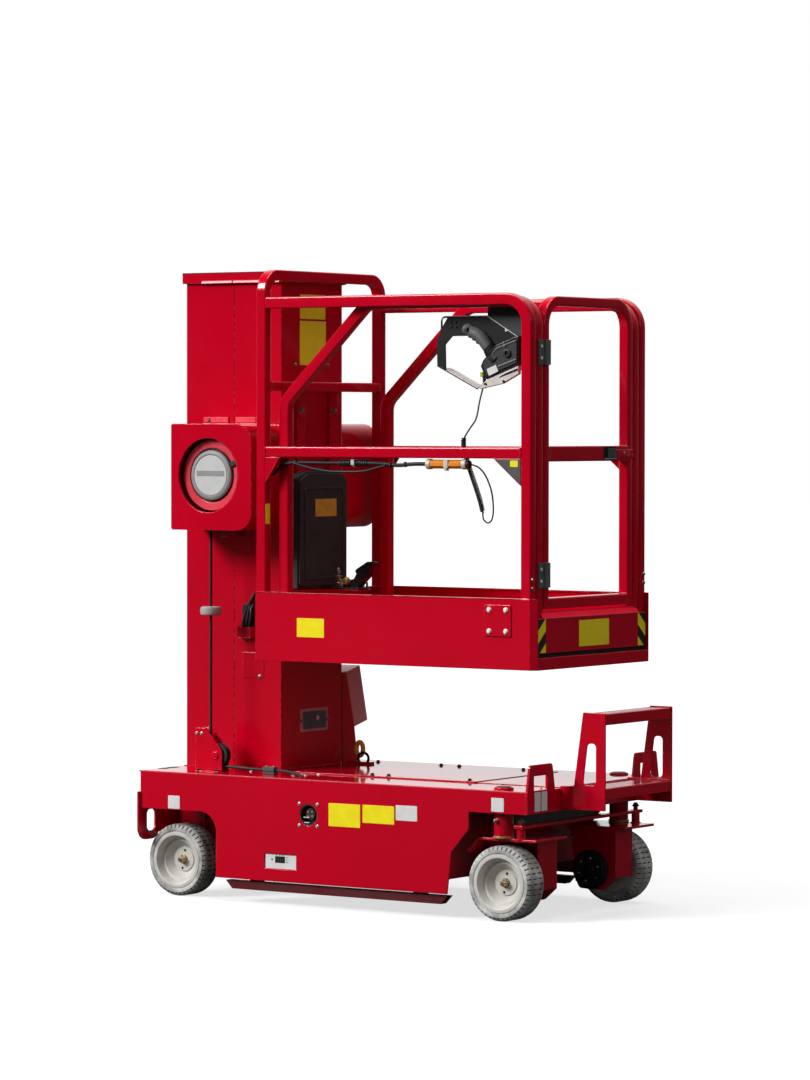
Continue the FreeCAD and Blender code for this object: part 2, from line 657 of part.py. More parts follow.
def mast_base():
    """Plate under the mast with the upright walls that carry it in the chassis."""
    across = ("-mast_half - base_side", "mast_half + base_side")
    high = ("stage_low - base_plate", "deck_low")
    base = box(("mast_rear", "base_front"), across, ("stage_low - base_plate", "stage_low - run_gap"))
    ahead = box(("base_front - base_wall", "base_front"), ("-inner_half", "inner_half"), high)
    behind = box(("mast_rear - base_wall", "mast_rear"), across, high)
    cheek = box(("mast_rear", "base_front"), ("mast_half + base_side - base_wall", "mast_half + base_side"), high)
    return name("mast_base_frame", fuse(base, ahead, behind, cheek, mirrored(cheek)))


def stage(step, foot="stage_low"):
    """One inner mast section; step counts the sections inwards from the sleeve."""
    inset = f"(sleeve_wall + {step} * stage_gap + {step - 1} * stage_wall)"
    x = (f"mast_rear + {inset}", f"mast_front - {inset}")
    y = (f"-mast_half + {inset}", f"mast_half - {inset}")
    hollow_x = (f"{x[0]} + stage_wall", f"{x[1]} - stage_wall")
    hollow_y = (f"{y[0]} + stage_wall", f"{y[1]} - stage_wall")
    return cut(box(x, y, (foot, "stage_top")), box(hollow_x, hollow_y, ("stage_low - 1", "stage_top + 1")))


def mast():
    """Core fixed in the chassis, three sliding sections, and the sleeve that carries the basket."""
    for step, label in ((1, "mast_section_4"), (2, "mast_section_3"), (3, "mast_section_2")):
        name(label, stage(step))
    name("mast_core", stage(4, "stage_low - run_gap"))
    outer = box(("mast_rear", "mast_front"), ("-mast_half", "mast_half"), ("deck_top + run_gap", "sleeve_top"))
    inner = box(("mast_rear + sleeve_wall", "mast_front - sleeve_wall"),
                ("sleeve_wall - mast_half", "mast_half - sleeve_wall"), ("deck_top", "sleeve_top"))
    seam = box(("mast_rear + seam_run", "mast_rear + seam_run + seam_width"),
               ("-mast_half - 1", "seam_depth - mast_half"), ("deck_top", "sleeve_top"))
    name("mast_sleeve", cut(cut(outer, inner), pair(seam)))
    name("mast_cap", box(("mast_rear - cap_lip", "mast_front + cap_lip"),
                         ("-mast_half - cap_lip", "mast_half + cap_lip"),
                         ("sleeve_top", "sleeve_top + cap_height")))


def power_box():
    """Batteries, charger and ballast as one plain block, with the well behind the socket."""
    block = box(("base_front", "skirt_front - box_front_gap"), ("-inner_half", "inner_half"),
                ("box_bottom", "deck_low"))
    reach = "socket_pitch / 2 + well_margin"
    well = box((f"socket_x - ({reach})", f"socket_x + {reach}"), ("-chassis_half", "well_depth - chassis_half"),
               (f"socket_z - ({reach})", f"socket_z + {reach}"))
    return name("power_box", cut(block, well))


def rear_axles():
    """Bracket plates inside the rear wheels, each with its fixed stub."""
    inner = "-rear_face + tyre_width + arm_gap"
    low = "wheel_radius - arm_drop"
    outline = [("-half_base - arm_half", "deck_low"), ("-half_base - arm_half", low, "arm_drop"),
               ("-half_base + arm_half", low, "arm_drop"), ("-half_base + arm_half", "deck_low")]
    arm = plate("xz", [outline], inner, f"{inner} + arm_plate")
    stub = rod("y", ("-half_base", "run_gap - rear_face + dish_depth", "wheel_radius"),
               "tyre_width - dish_depth + arm_gap", "axle_radius")
    return name("rear_axle_brackets", pair(fuse(arm, stub)))


def kingpin_housings():
    """Capped tubes for the kingpins, each on its rib under the deck."""
    depth = "deck_top - housing_low"
    start = ("half_base", "-kingpin_y", "housing_low")
    barrel = rod("z", start, f"{depth} + housing_cap", "housing_radius")
    rib = box(("half_base - rib_reach", "half_base"), ("-kingpin_y - rib_plate / 2", "-kingpin_y + rib_plate / 2"),
              ("front_sill - rib_plate", "deck_low"))
    bore = rod("z", start, depth, "kingpin_radius + run_gap")
    return name("kingpin_housings", pair(cut(fuse(barrel, rib), bore)))


def guards():
    """Low bars along the skirts that stop the machine dropping into a hole."""
    ends = ("skirt_rear + guard_width", "skirt_front - panel_plate")
    outline = [(ends[0], "guard_top"), (f"{ends[0]} + guard_taper", "guard_low"),
               (f"{ends[1]} - guard_taper", "guard_low"), (ends[1], "guard_top")]
    side = "guard_inset - chassis_half"
    bar = plate("xz", [outline], side, f"{side} + guard_width")
    hangers = [box((f"{x} - hanger_half", f"{x} + hanger_half"), (f"{side} + panel_plate", f"{side} + guard_width"),
                   ("guard_top", "box_bottom"))
               for x in (f"{ends[0]} + hanger_run", f"{ends[1]} - hanger_run")]
    return name("floor_guards", pair(fuse(bar, *hangers)))


def entry_step():
    """Folding-sheet step ahead of the deck: two slotted sides and two treads."""
    knee = "step_low + step_foot"
    outline = [("chassis_front", "step_low"), ("step_front", "step_low"), ("step_front", "step_top"),
               ("step_front - step_head", "step_top"), ("step_front - step_knee", knee), ("chassis_front", knee)]
    slot = [("step_front - slot_foot", "step_low + slot_low", "slot_corner"),
            ("step_front - slot_front", "step_low + slot_low", "slot_corner"),
            ("step_front - slot_front", "step_low + slot_high", "slot_corner"),
            ("step_front - slot_head", "step_low + slot_high", "slot_corner")]
    side = plate("xz", [outline, slot], "-step_half", "step_plate - step_half")
    across = ("step_plate - step_half", "step_half - step_plate")
    edge = "step_front - tread_sheet"
    treads = []
    for depth, top in (("tread_upper", "step_top - tread_sheet"), ("tread_lower", f"{knee} - tread_sheet")):
        solid = box((f"step_front - {depth}", edge), across, (f"{top} - tread_face", top))
        hollow = box((f"step_front - {depth} + tread_sheet", f"{edge} - tread_sheet"), across,
                     (f"{top} - tread_face - 1", f"{top} - tread_sheet"))
        treads.append(cut(solid, hollow))
    return name("entry_step", fuse(side, mirrored(side), *treads))


def cable_guide():
    """Deck pulley and bracket, the cable's two clamps, and the cable from the reel to the deck."""
    outline = [("pulley_x - bracket_back", "deck_top"), ("pulley_x + bracket_front", "deck_top"),
               ("pulley_x + bracket_front", "pulley_z + bracket_rise / 5", "bracket_front"),
               ("pulley_x - bracket_back / 2", "pulley_z + bracket_rise", "cable_radius"),
               ("pulley_x - bracket_back", "pulley_z + bracket_rise", "cable_radius")]
    near = plate("xz", [outline], "-cable_y - cheek_y - cheek_plate", "-cable_y - cheek_y")
    far = plate("xz", [outline], "-cable_y + cheek_y", "-cable_y + cheek_y + cheek_plate")
    axle_end = "cheek_y + 2 * cheek_plate"
    axle = rod("y", ("pulley_x", f"-cable_y - ({axle_end})", "pulley_z"), f"2 * ({axle_end})", "pulley_bore")
    name("pulley_bracket", fuse(near, far, axle))
    bore = "pulley_bore + run_gap"
    bottom = "pulley_bend - cable_radius - run_gap"
    half = [(bore, "-pulley_half"), ("pulley_radius", "-pulley_half"), ("pulley_radius", "-groove_half"),
            (bottom, "-groove_half"), (bottom, "groove_half"), ("pulley_radius", "groove_half"),
            ("pulley_radius", "pulley_half"), (bore, "pulley_half")]
    name("deck_pulley", revolve(half, ("pulley_x", "-cable_y", "pulley_z"), OUT_RIGHT))

    stopper = rod("z", ("cable_x", "-cable_y", "stopper_z - stopper_half"), "2 * stopper_half", "stopper_radius")
    block = box(("clamp_x - clamp_half", "clamp_x + clamp_half"), ("-clamp_y - clamp_side", "-clamp_y + clamp_side"),
                ("deck_top", "deck_top + clamp_height"))
    bores = (rod("z", ("cable_x", "-cable_y", "deck_top"), "stopper_z", "cable_radius + run_gap"),
             rod("x", ("clamp_x - clamp_half - 1", "-clamp_y", "clamp_z"), "2 * clamp_half + 2",
                 "cable_radius + run_gap"))
    name("cable_clamps", group(cut(stopper, bores[0]), cut(block, bores[1])))
    name("reel_cable", rod("z", ("cable_x", "-cable_y", "pulley_z"),
                           "reel_low + 2 * pulley_bend / 2 - pulley_z", "cable_radius"))


def value(text):
    """The present value of a size or place, for the pieces whose shapes are worked out here."""
    holder = doc.addObject("Part::Box", "Probe")
    bind(holder, "Placement.Base.x", text)
    doc.recompute()
    found = holder.Placement.Base.x
    doc.removeObject(holder.Name)
    return found


def deck_cable():
    """The cable round the pulley, through the deck clamp and down through the deck."""
    x, y, z = value("cable_x"), -value("cable_y"), value("pulley_z")
    bend = value("pulley_bend")
    clamp = (value("clamp_x"), -value("clamp_y"), value("clamp_z"))
    hole = (value("gland_x"), -value("gland_y"), value("deck_top - cable_radius / 3"))
    lead = value("2 * clamp_half")
    stops = [(x, y, z), (x, y, z - bend), (clamp[0] - lead, clamp[1], clamp[2]), (clamp[0] + lead, clamp[1], clamp[2]),
             (hole[0] - 40, hole[1] + 4, clamp[2] - 3), (hole[0] - 9, hole[1] + 1, clamp[2] - 9), hole]
    name("deck_cable", route(stops, value("cable_radius"), {0: bend}))


def ground_control():
    """Leaning stand beside the mast with the ground control box on its outer side."""
    inner = "mast_half + stand_gap"
    head = "control_y - (stand_top - control_z) * tan(control_tilt)"
    foot = "mast_half + stand_foot"
    hood = plate("yz", [[(inner, "deck_top"), (foot, "deck_top"), ("control_y", "control_z"), (head, "stand_top"),
                         (inner, "stand_top")]], "stand_rear", "mast_front")
    hollow = plate("yz", [[(f"{inner} - 1", "deck_top - 1"), (f"{foot} - stand_plate", "deck_top - 1"),
                           ("control_y - stand_plate", "control_z"),
                           (f"{head} - stand_plate", "stand_top - stand_plate"),
                           (f"{inner} - 1", "stand_top - stand_plate")]],
                   "stand_rear + stand_plate", "mast_front - stand_plate")
    name("control_stand", cut(hood, hollow))
    case = doc.addObject("Part::Box", "Case")
    for prop, size in (("Length", "stand_length"), ("Width", "control_depth"), ("Height", "control_height")):
        bind(case, prop, size)
    place(case, "stand_rear", "control_y", "control_z", turn=Rotation(Vector(1, 0, 0), 1))
    bind(case, "Placement.Rotation.Angle", "control_tilt")
    name("ground_control", case)


# Wheels and steering

def wheel(label, x, face, side):
    """A solid tyre on a dished rim; side is -1 on the right and 1 on the left."""
    turn = OUT_RIGHT if side < 0 else OUT_LEFT
    sign = "-" if side < 0 else ""
    start = (x, f"{sign}({face} - tyre_width)", "wheel_radius")
    tyre_half = [("rim_radius", "0"), ("wheel_radius", "0"), ("wheel_radius", "tyre_width - tyre_round"),
                 ("wheel_radius - tyre_round", "tyre_width"), ("rim_radius", "tyre_width")]
    name(f"tyre_{label}", revolve(tyre_half, start, turn))
    bore = "axle_radius + run_gap"
    lip = "tyre_width - rim_inset"
    floor = "tyre_width - dish_depth"
    rim_half = [(bore, "rim_inset"), ("rim_radius", "rim_inset"), ("rim_radius", lip), ("rim_radius - rim_lip", lip),
                ("rim_radius - rim_lip", floor), ("hub_radius", floor), ("hub_radius", f"{floor} + hub_rise"),
                (bore, f"{floor} + hub_rise")]
    name(f"rim_{label}", revolve(rim_half, start, turn))


def fork(label, side):
    """Steering fork: kingpin, top plate, inner plate, flanges, flap, tie rod post and axle stub."""
    under = "fork_top - fork_plate"
    low = "wheel_radius - motor_depth"
    inner = ("-fork_inner - fork_plate", "-fork_inner")
    outer = "fork_edge - front_face"
    top = box(("half_base - fork_back", "half_base + fork_ahead"), (outer, "-fork_inner"), (under, "fork_top"))
    outline = [("half_base - cheek_back", under), ("half_base - cheek_back", low),
               ("half_base - arm_half", "wheel_radius - motor_radius", "cheek_round"),
               ("half_base + arm_half", "wheel_radius - motor_radius", "cheek_round"),
               ("half_base + cheek_ahead", low), ("half_base + cheek_ahead", under)]
    cheek = plate("xz", [outline], *inner)
    flange_y = ("tyre_width + pivot_radius - front_face", inner[0])
    flange = box(("half_base + cheek_ahead - fork_plate", "half_base + cheek_ahead"), flange_y, (low, under))
    back = box(("half_base - cheek_back", "half_base - cheek_back + fork_plate"), flange_y, (low, under))
    edge = "half_base - fork_back"
    flap = plate("xz", [[(edge, "fork_top"), (edge, under), (f"{edge} - flap_run + fork_plate", f"{under} - flap_drop"),
                         (f"{edge} - flap_run", "fork_top - flap_drop")]], outer, f"{outer} + flap_width")
    foot = ("half_base", "-kingpin_y", "fork_top")
    pin = rod("z", foot, "deck_top - run_gap - fork_top", "kingpin_radius")
    collar = rod("z", foot, "housing_low - run_gap - fork_top", "housing_radius")
    ahead = ("half_base + arm_reach", "-kingpin_y", "fork_top")
    post = rod("z", ahead, "tie_height - run_gap - fork_top", "post_radius")
    pivot = rod("z", ahead, "tie_height + 2 * tie_plate - fork_top", "pivot_radius")
    tip = "dish_depth + run_gap - front_face"
    stub = rod("y", ("half_base", tip, "wheel_radius"), f"-fork_inner - fork_plate - ({tip})", "axle_radius")
    whole = fuse(top, cheek, flange, back, flap, pin, collar, post, pivot, stub)
    name(f"fork_{label}", whole if side < 0 else mirrored(whole))
    motor = rod("y", ("half_base", "-fork_inner", "wheel_radius"), "motor_depth", "motor_radius")
    name(f"wheel_motor_{label}", motor if side < 0 else mirrored(motor))


def tie_rod():
    """Flat bar between the forks; the left eye is wide, where the linkage is opened."""
    middle = "half_base + arm_reach"
    bar = box((f"{middle} - tie_width / 2", f"{middle} + tie_width / 2"), ("-kingpin_y - tie_end", "kingpin_y + tie_end"),
              ("tie_height", "tie_height + tie_plate"))
    eyes = [rod("z", (middle, f"{side}kingpin_y", "tie_height - 1"), "tie_plate + 2", f"pivot_radius + {gap}")
            for side, gap in (("-", "run_gap"), ("", "open_gap"))]
    return name("tie_rod", cut(bar, fuse(*eyes)))


# Basket

def gusset(corner_x, reach):
    """Triangular plate under the mid rail with a lip along its long edge."""
    drop = "mid_low - gusset_drop"
    tip = f"{corner_x} {reach}"
    sheet_piece = plate("xz", [[(corner_x, "mid_low"), (corner_x, drop), (tip, "mid_low")]],
                        "-outer_skin", "gusset_plate - outer_skin")
    inward = "+ gusset_plate" if reach.startswith("-") else "- gusset_plate"
    lip = plate("xz", [[(corner_x, drop), (tip, "mid_low"), (f"{tip} {inward}", "mid_low"),
                        (corner_x, f"{drop} + gusset_plate")]], "-outer_skin", "gusset_lip - outer_skin")
    return fuse(sheet_piece, lip)


def side_frames():
    """Outer frames: front post and top rail in one bend, mid rail, gussets and side panel."""
    back = "basket_rear + rail_tube"
    inner_front = "post_front - rail_tube"
    under_top = "rail_top - rail_tube"
    over_mid = "mid_low + mid_tube"
    outline = [(back, "rail_top"), (back, under_top), (inner_front, under_top, "rail_round - rail_tube"),
               (inner_front, over_mid), (back, over_mid), (back, "mid_low"), (inner_front, "mid_low"),
               (inner_front, "floor_top"), ("post_front", "floor_top"), ("post_front", "rail_top", "rail_round")]
    frame = plate("xz", [outline], "-outer_skin", "-outer_tube")
    panel = box(("basket_rear", "post_front"), ("-basket_half", "-outer_skin"), ("floor_low", "toe_top"))
    corner = plate("xy", [[("post_front", "-basket_half"), ("basket_front", "corner_turn - basket_half"),
                           ("basket_front", "corner_turn + toe_plate - basket_half"), ("post_front", "-outer_skin")]],
                   "floor_low", "toe_top")
    braces = (gusset(inner_front, "- gusset_front"), gusset(back, "+ gusset_rear"))
    return name("side_frames", pair(fuse(frame, panel, corner, *braces)))


def basket_floor():
    """Fixed floor pan, open underneath inside its rim, with its front corners cut off."""
    turn_in = "outer_skin - corner_turn"
    outline = [("basket_rear", "-outer_skin"), ("post_front", "-outer_skin"), ("basket_front", f"-({turn_in})"),
               ("basket_front", turn_in), ("post_front", "outer_skin"), ("basket_rear", "outer_skin")]
    pan = plate("xy", [outline], "floor_low", "floor_top")
    rim = "outer_skin - floor_rim"
    under = box(("basket_rear + floor_rim", "basket_front - floor_rim"), (f"-({rim})", rim),
                ("floor_low - 1", "floor_top - floor_plate"))
    return name("basket_floor", cut(pan, under))


def rear_arch():
    """Bent tube that forms the basket's rear posts, its crossbar, the rear board and the lock's shelf."""
    over_bar = "bar_low + bar_height"
    front = "basket_rear + rail_tube"
    outline = [("-outer_skin", "floor_top"), ("-outer_tube", "floor_top"), ("-outer_tube", "bar_low"),
               ("outer_tube", "bar_low"), ("outer_tube", "floor_top"), ("outer_skin", "floor_top"),
               ("outer_skin", "arch_top", "rear_round"), ("-outer_skin", "arch_top", "rear_round")]
    inner_round = "rear_round - rail_tube + toe_plate"
    upper = [("-outer_tube", over_bar), ("outer_tube", over_bar),
             ("outer_tube", "arch_top - rail_tube", inner_round), ("-outer_tube", "arch_top - rail_tube", inner_round)]
    tube = plate("yz", [outline, upper], "basket_rear", front)
    board = box(("basket_rear", "basket_rear + toe_plate"), ("-outer_tube", "outer_tube"), ("floor_top", "toe_top"))
    fold = box(("basket_rear", front), ("-outer_tube", "outer_tube"), ("toe_top - toe_plate", "toe_top"))
    shelf = box((front, "basket_rear + shelf_length"), ("-shelf_half", "shelf_half"), ("toe_top - toe_plate", "toe_top"))
    return name("rear_arch", fuse(tube, board, fold, shelf))


def carriage():
    """Upright channels that bolt the basket to the front of the mast sleeve."""
    top = "bar_low + bar_height"
    web = box(("mast_front", "mast_front + channel_web"), ("-channel_outer", "channel_outer"), ("floor_low", top))
    channel = box(("mast_front", "basket_rear"), ("channel_inner", "channel_outer"), ("floor_low", top))
    return name("carriage_plate", fuse(web, channel, mirrored(channel)))


def housing(face, inset):
    """Outline of a housing on the mast's side, as solid or as the hollow inside its wall."""
    low, top = f"reel_low + {inset}", f"reel_top - {inset}"
    back, front = f"reel_rear + {inset}", f"mast_front - {inset}"
    rear_round, front_round = f"reel_corner - {inset} / 2", f"reel_round - {inset}"
    return plate("xz", [[(back, low, rear_round), (front, low, front_round), (front, top, front_round),
                         (back, top, rear_round)]], f"{inset} - {face}", "-mast_half")


def reel():
    """Spring cable reel in its windowed housing on the right, and the plain housing on the left."""
    middle = ("(reel_rear + mast_front) / 2 - window_back", "-reel_face - 1", "(reel_low + reel_top) / 2 + window_up")
    window = rod("y", middle, "2 * reel_wall", "reel_window")
    hole = rod("z", ("cable_x", "-cable_y", "reel_low - 1"), "2 * reel_wall", "cable_hole")
    tabs = [box((f"reel_rear + tab_start + {i} * tab_pitch", f"reel_rear + tab_start + {i} * tab_pitch + tab_length"),
                ("-mast_half - reel_wall", "-mast_half"), ("reel_top - reel_wall", "reel_top + tab_rise"))
            for i in (0, 1)]
    shell = cut(cut(housing("reel_face", "0"), housing("reel_face", "reel_wall")), fuse(window, hole))
    name("reel_housing", fuse(shell, *tabs))
    left = cut(housing("left_face", "0"), housing("left_face", "reel_wall"))
    name("left_housing", mirrored(left))
    depth = "reel_face - mast_half - 3 * reel_wall"
    outer = f"{depth} - disc_depth"
    drum_half = [("0", "0"), ("flange_wide", "0"), ("flange_wide", "flange_plate"), ("drum_radius", "flange_plate"),
                 ("drum_radius", f"{outer} - flange_plate"), ("flange_wide", f"{outer} - flange_plate"),
                 ("flange_wide", outer), ("reel_disc", outer), ("reel_disc", depth), ("0", depth)]
    name("cable_reel", revolve(drum_half, (middle[0], "-mast_half", middle[2]), OUT_RIGHT))


def manual_box():
    """Document box with a raised lid, on the carriage's channels."""
    slope = "manual_slope"
    outline = [("-manual_right", "manual_low"), ("manual_left", "manual_low"), ("manual_left", "manual_side", "axle_radius"),
               (f"manual_left - {slope}", "manual_top"), (f"{slope} - manual_right", "manual_top"),
               ("-manual_right", "manual_side", "axle_radius")]
    return name("manual_box", plate("yz", [outline], "basket_rear + run_gap", "basket_rear + manual_depth"))


def slide_lock():
    """Foot lever that locks the sliding deck, with its pivot and its spring bolt."""
    top = "toe_top + lock_plate"
    base = box(("lock_x", "lock_x + lock_length"), ("-lock_half", "lock_half"), ("toe_top", top))
    lever = plate("xz", [[("lock_x + 36", top), ("lock_x + 104", top), ("lock_x + 140", f"{top} + 40"),
                          ("lock_x + 147", f"{top} + 66"), ("lock_x + 161", f"{top} + 80"), ("lock_x + 134", f"{top} + 82"),
                          ("lock_x + 91", f"{top} + 57"), ("lock_x + 83", f"{top} + 33")]],
                  "-lock_half / 2", "lock_half / 2")
    bolt = ("lock_x + 14", "0", top)
    stack = [rod("z", bolt, "60", "4"), rod("z", bolt, "12", "11"), rod("z", bolt, "30", "8")]
    return name("slide_lock", fuse(base, lever, *stack))


# Cables of the basket: each list of stops is (x, y, z) along the real route, ends face to face with what they meet.
LOOM_STOPS = (
    [(-274, -312, 1349), (-258, -312, 1349), (-222, -312, 1380), (-184, -312, 1386), (-13, -312, 1385)],
    [(115, -312, 1385), (160, -312, 1384), (215, -315, 1378), (270, -318, 1384), (324, -318, 1384)],
    [(-184, -322.3, 1386), (-60, -322.3, 1358), (90, -322.3, 1358), (175, -322.3, 1379)],
    [(-269.7, 316, 1402), (-269.7, 316, 1050), (-246, 316, 960), (-246, 316, 800)],
)
LOOM_RADII = (6, 6, 4, 4)

# Control cord: from the gland under the controller, down the curly stretch and back up to the coupling.
LEAD_STOPS = [(503, -250, 1632), (503, -250, 1604), (494, -256, 1574), (484, -263, 1543), (474, -271, 1516),
              (458, -280, 1496), (446, -285, 1473)]
COIL_STOPS = [(446, -285, 1473), (437, -288.75, 1455.75), (446, -286, 1410), (468, -285, 1350), (490, -285, 1298),
              (505, -285, 1254), (508, -285, 1232)]
TAIL_STOPS = [(508, -285, 1232), (510.7, -285, 1212.2), (526, -286, 1201), (543, -288, 1209), (551, -291, 1231),
              (553, -295, 1262), (552, -300, 1298), (543, -307, 1333), (528, -313, 1364), (502, -318, 1384),
              (478, -318, 1384)]


def cables():
    """Loom under the right mid rail, the cable at the left rear post, the couplings and the control cord."""
    looms = [route(stops, radius) for stops, radius in zip(LOOM_STOPS, LOOM_RADII)]
    name("rail_harness", group(*looms))
    orange = rod("x", ("coupling_x", "-coupling_y", "coupling_z"), "coupling_length", "coupling_radius")
    small = rod("x", ("joint_x", "-joint_y", "joint_z"), "joint_length", "joint_radius")
    name("harness_couplings", group(orange, small))
    name("cord_lead", route(LEAD_STOPS, value("cord_radius")))
    name("cord_coil", route(COIL_STOPS, value("coil_radius")))
    name("cord_tail", route(TAIL_STOPS, value("cord_radius")))


# Extension and gate

def extension():
    """Sliding deck: two bent side frames, the floor on its shoes and the front toe board."""
    top = "inner_top"
    bend_x = "inner_rear + bend_reach"
    outline = [("inner_rear", "inner_low"), ("post_front", "inner_low"), ("post_front", top, "rail_round"),
               (bend_x, top), ("inner_rear", "bend_height")]
    under = f"{top} - rail_tube"
    window = [("inner_rear + rail_tube", "inner_low + floor_plate"), ("post_front - rail_tube", "inner_low + floor_plate"),
              ("post_front - rail_tube", under, "rail_round - rail_tube"), (f"{bend_x} + bend_ease", under),
              ("inner_rear + rail_tube", "bend_height - rail_tube / 3")]
    frame = plate("xz", [outline, window], "-inner_skin", "-inner_face")
    name("extension_frames", pair(frame))
    sill = "basket_front - toe_plate"
    floor = box(("inner_rear", sill), ("-inner_face", "inner_face"), ("inner_low", "inner_low + floor_plate"))
    board = box((sill, "basket_front"), ("-inner_skin", "inner_skin"), ("inner_low", "board_top"))
    lip = box(("basket_front - board_lip", "basket_front"), ("-inner_skin", "inner_skin"),
              ("board_top - toe_plate", "board_top"))
    shoes = [box((f"{x} - shoe_half", f"{x} + shoe_half"), (f"{side}shoe_y - shoe_half", f"{side}shoe_y + shoe_half"),
                 ("floor_top + run_gap", "inner_low"))
             for x in ("inner_rear + 2 * shoe_half", "post_front - 3 * shoe_half") for side in ("-", "")]
    name("extension_floor", fuse(floor, board, lip, *shoes))


def gate():
    """Gate with its latch slot, and the hinges' moving and fixed halves."""
    inner = "gate_half - gate_tube"
    over_mid = "gate_mid + gate_bar"
    inner_round = "gate_round - gate_tube"
    outline = [("-gate_half", "gate_low"), ("gate_half", "gate_low"), ("gate_half", "gate_top", "gate_round"),
               ("-gate_half", "gate_top", "gate_round")]
    upper = [(f"-({inner})", over_mid), (inner, over_mid), (inner, "gate_top - gate_tube", inner_round),
             (f"-({inner})", "gate_top - gate_tube", inner_round)]
    lower = rect((f"-({inner})", inner), ("gate_low + gate_foot", "gate_mid"))
    frame = plate("yz", [outline, upper, lower], "post_front - gate_depth", "post_front")
    rise = "gate_mid + (gate_bar - latch_height) / 2"
    latch = box(("post_front - latch_depth", "post_front + 1"), ("latch_y", "latch_y + latch_length"),
                (rise, f"{rise} + latch_height"))
    name("gate_frame", cut(frame, latch))
    hinge_y = "-gate_half - slide_gap / 2"
    moving = []
    fixed = []
    for middle in ("hinge_low", "hinge_high"):
        upper_half = (middle, f"{middle} + hinge_half")
        lower_half = (f"{middle} - hinge_half", f"{middle} - run_gap")
        for pieces, side, high in ((moving, (hinge_y, f"{hinge_y} + hinge_leaf"), upper_half),
                                   (fixed, (f"{hinge_y} - hinge_leaf", hinge_y), lower_half)):
            barrel = rod("z", ("post_front + hinge_stand", hinge_y, high[0]), f"{high[1]} - ({high[0]})", "hinge_pin")
            leaf = box(("post_front", "post_front + hinge_stand"), side, high)
            pieces.append(fuse(barrel, leaf))
    name("gate_hinges", group(*moving))
    name("hinge_leaves", group(*fixed))


def controller():
    """Joystick box with its cord gland, in its octagonal bracket on the extension's right frame."""
    hang = [("326", "1700"), ("380", "1640"), ("480", "1617"), ("560", "1660"), ("620", "1700"), ("628", "1868"),
            ("513", "1868"), ("513", "1855"), ("345", "1830"), ("326", "1800")]
    hole = [("345", "1710"), ("385", "1658"), ("470", "1640"), ("480", "1790"), ("440", "1815"), ("360", "1812")]
    face = "hang_plate - inner_face"
    name("controller_bracket", plate("xz", [hang, hole], "-inner_face", face))
    outline = [("478", "1640"), ("560", "1672"), ("612", "1705"), ("604", "1790"), ("540", "1770"), ("492", "1720")]
    case = plate("xz", [outline], f"{face} + run_gap", f"{face} + case_depth")
    gland = rod("z", ("cord_gland_x", "-cord_gland_y", "cord_gland_z"), "4 * cord_gland_radius", "cord_gland_radius")
    name("controller", fuse(case, gland))


chassis_panels()
deck()
front_plate()
rear_plate()
mast_base()
mast()
power_box()
rear_axles()
kingpin_housings()
guards()
entry_step()
cable_guide()
deck_cable()
ground_control()
wheel("rear_right", "-half_base", "rear_face", -1)
wheel("rear_left", "-half_base", "rear_face", 1)
wheel("front_right", "half_base", "front_face", -1)
wheel("front_left", "half_base", "front_face", 1)
fork("right", -1)
fork("left", 1)
tie_rod()
side_frames()
basket_floor()
rear_arch()
carriage()
reel()
manual_box()
slide_lock()
cables()
extension()
gate()
controller()

doc.recompute()

for item in doc.Objects:
    if "Invalid" in item.State or "Error" in item.State:
        raise RuntimeError(f"{item.Name} ({item.Label}) failed: {item.State}")

os.makedirs("parts", exist_ok=True)
middle = value("(step_front + chassis_rear - loop_plate) / 2")
for label, item in PARTS.items():
    shape = item.Shape.copy()
    if shape.isNull() or not shape.isValid():
        raise RuntimeError(f"{label} has no valid shape")
    shape.translate(Vector(-middle, 0, 0))
    shape.exportStep(f"parts/{label}.step")
    room = shape.BoundBox
    print(f"{label:24s} solids {len(shape.Solids):2d}  x {room.XMin:8.1f} {room.XMax:8.1f}"
          f"  y {room.YMin:7.1f} {room.YMax:7.1f}  z {room.ZMin:7.1f} {room.ZMax:7.1f}")
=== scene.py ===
"""Dresses a vertical mast lift: wheels, basket, reel, controls, cables and finishes."""

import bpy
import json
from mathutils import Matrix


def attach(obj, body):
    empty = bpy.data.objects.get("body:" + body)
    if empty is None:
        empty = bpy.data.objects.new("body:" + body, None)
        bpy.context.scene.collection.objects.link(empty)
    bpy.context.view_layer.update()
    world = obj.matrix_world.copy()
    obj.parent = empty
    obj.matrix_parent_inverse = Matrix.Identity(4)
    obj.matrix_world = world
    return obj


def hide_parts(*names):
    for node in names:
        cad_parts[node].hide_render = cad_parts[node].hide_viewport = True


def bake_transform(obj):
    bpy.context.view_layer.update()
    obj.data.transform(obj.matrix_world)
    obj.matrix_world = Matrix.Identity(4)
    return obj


bl_info = {
    "name": "Vertical Mast Lift",
    "version": (1, 0, 0),
    "blender": (4, 5, 0),
    "location": "View3D > Sidebar > Mast Lift",
    "description": "Builds the visible pieces and finishes of a vertical mast lift",
    "category": "Object",
}

import json
import math

import bmesh
import bpy
from mathutils import Matrix, Vector

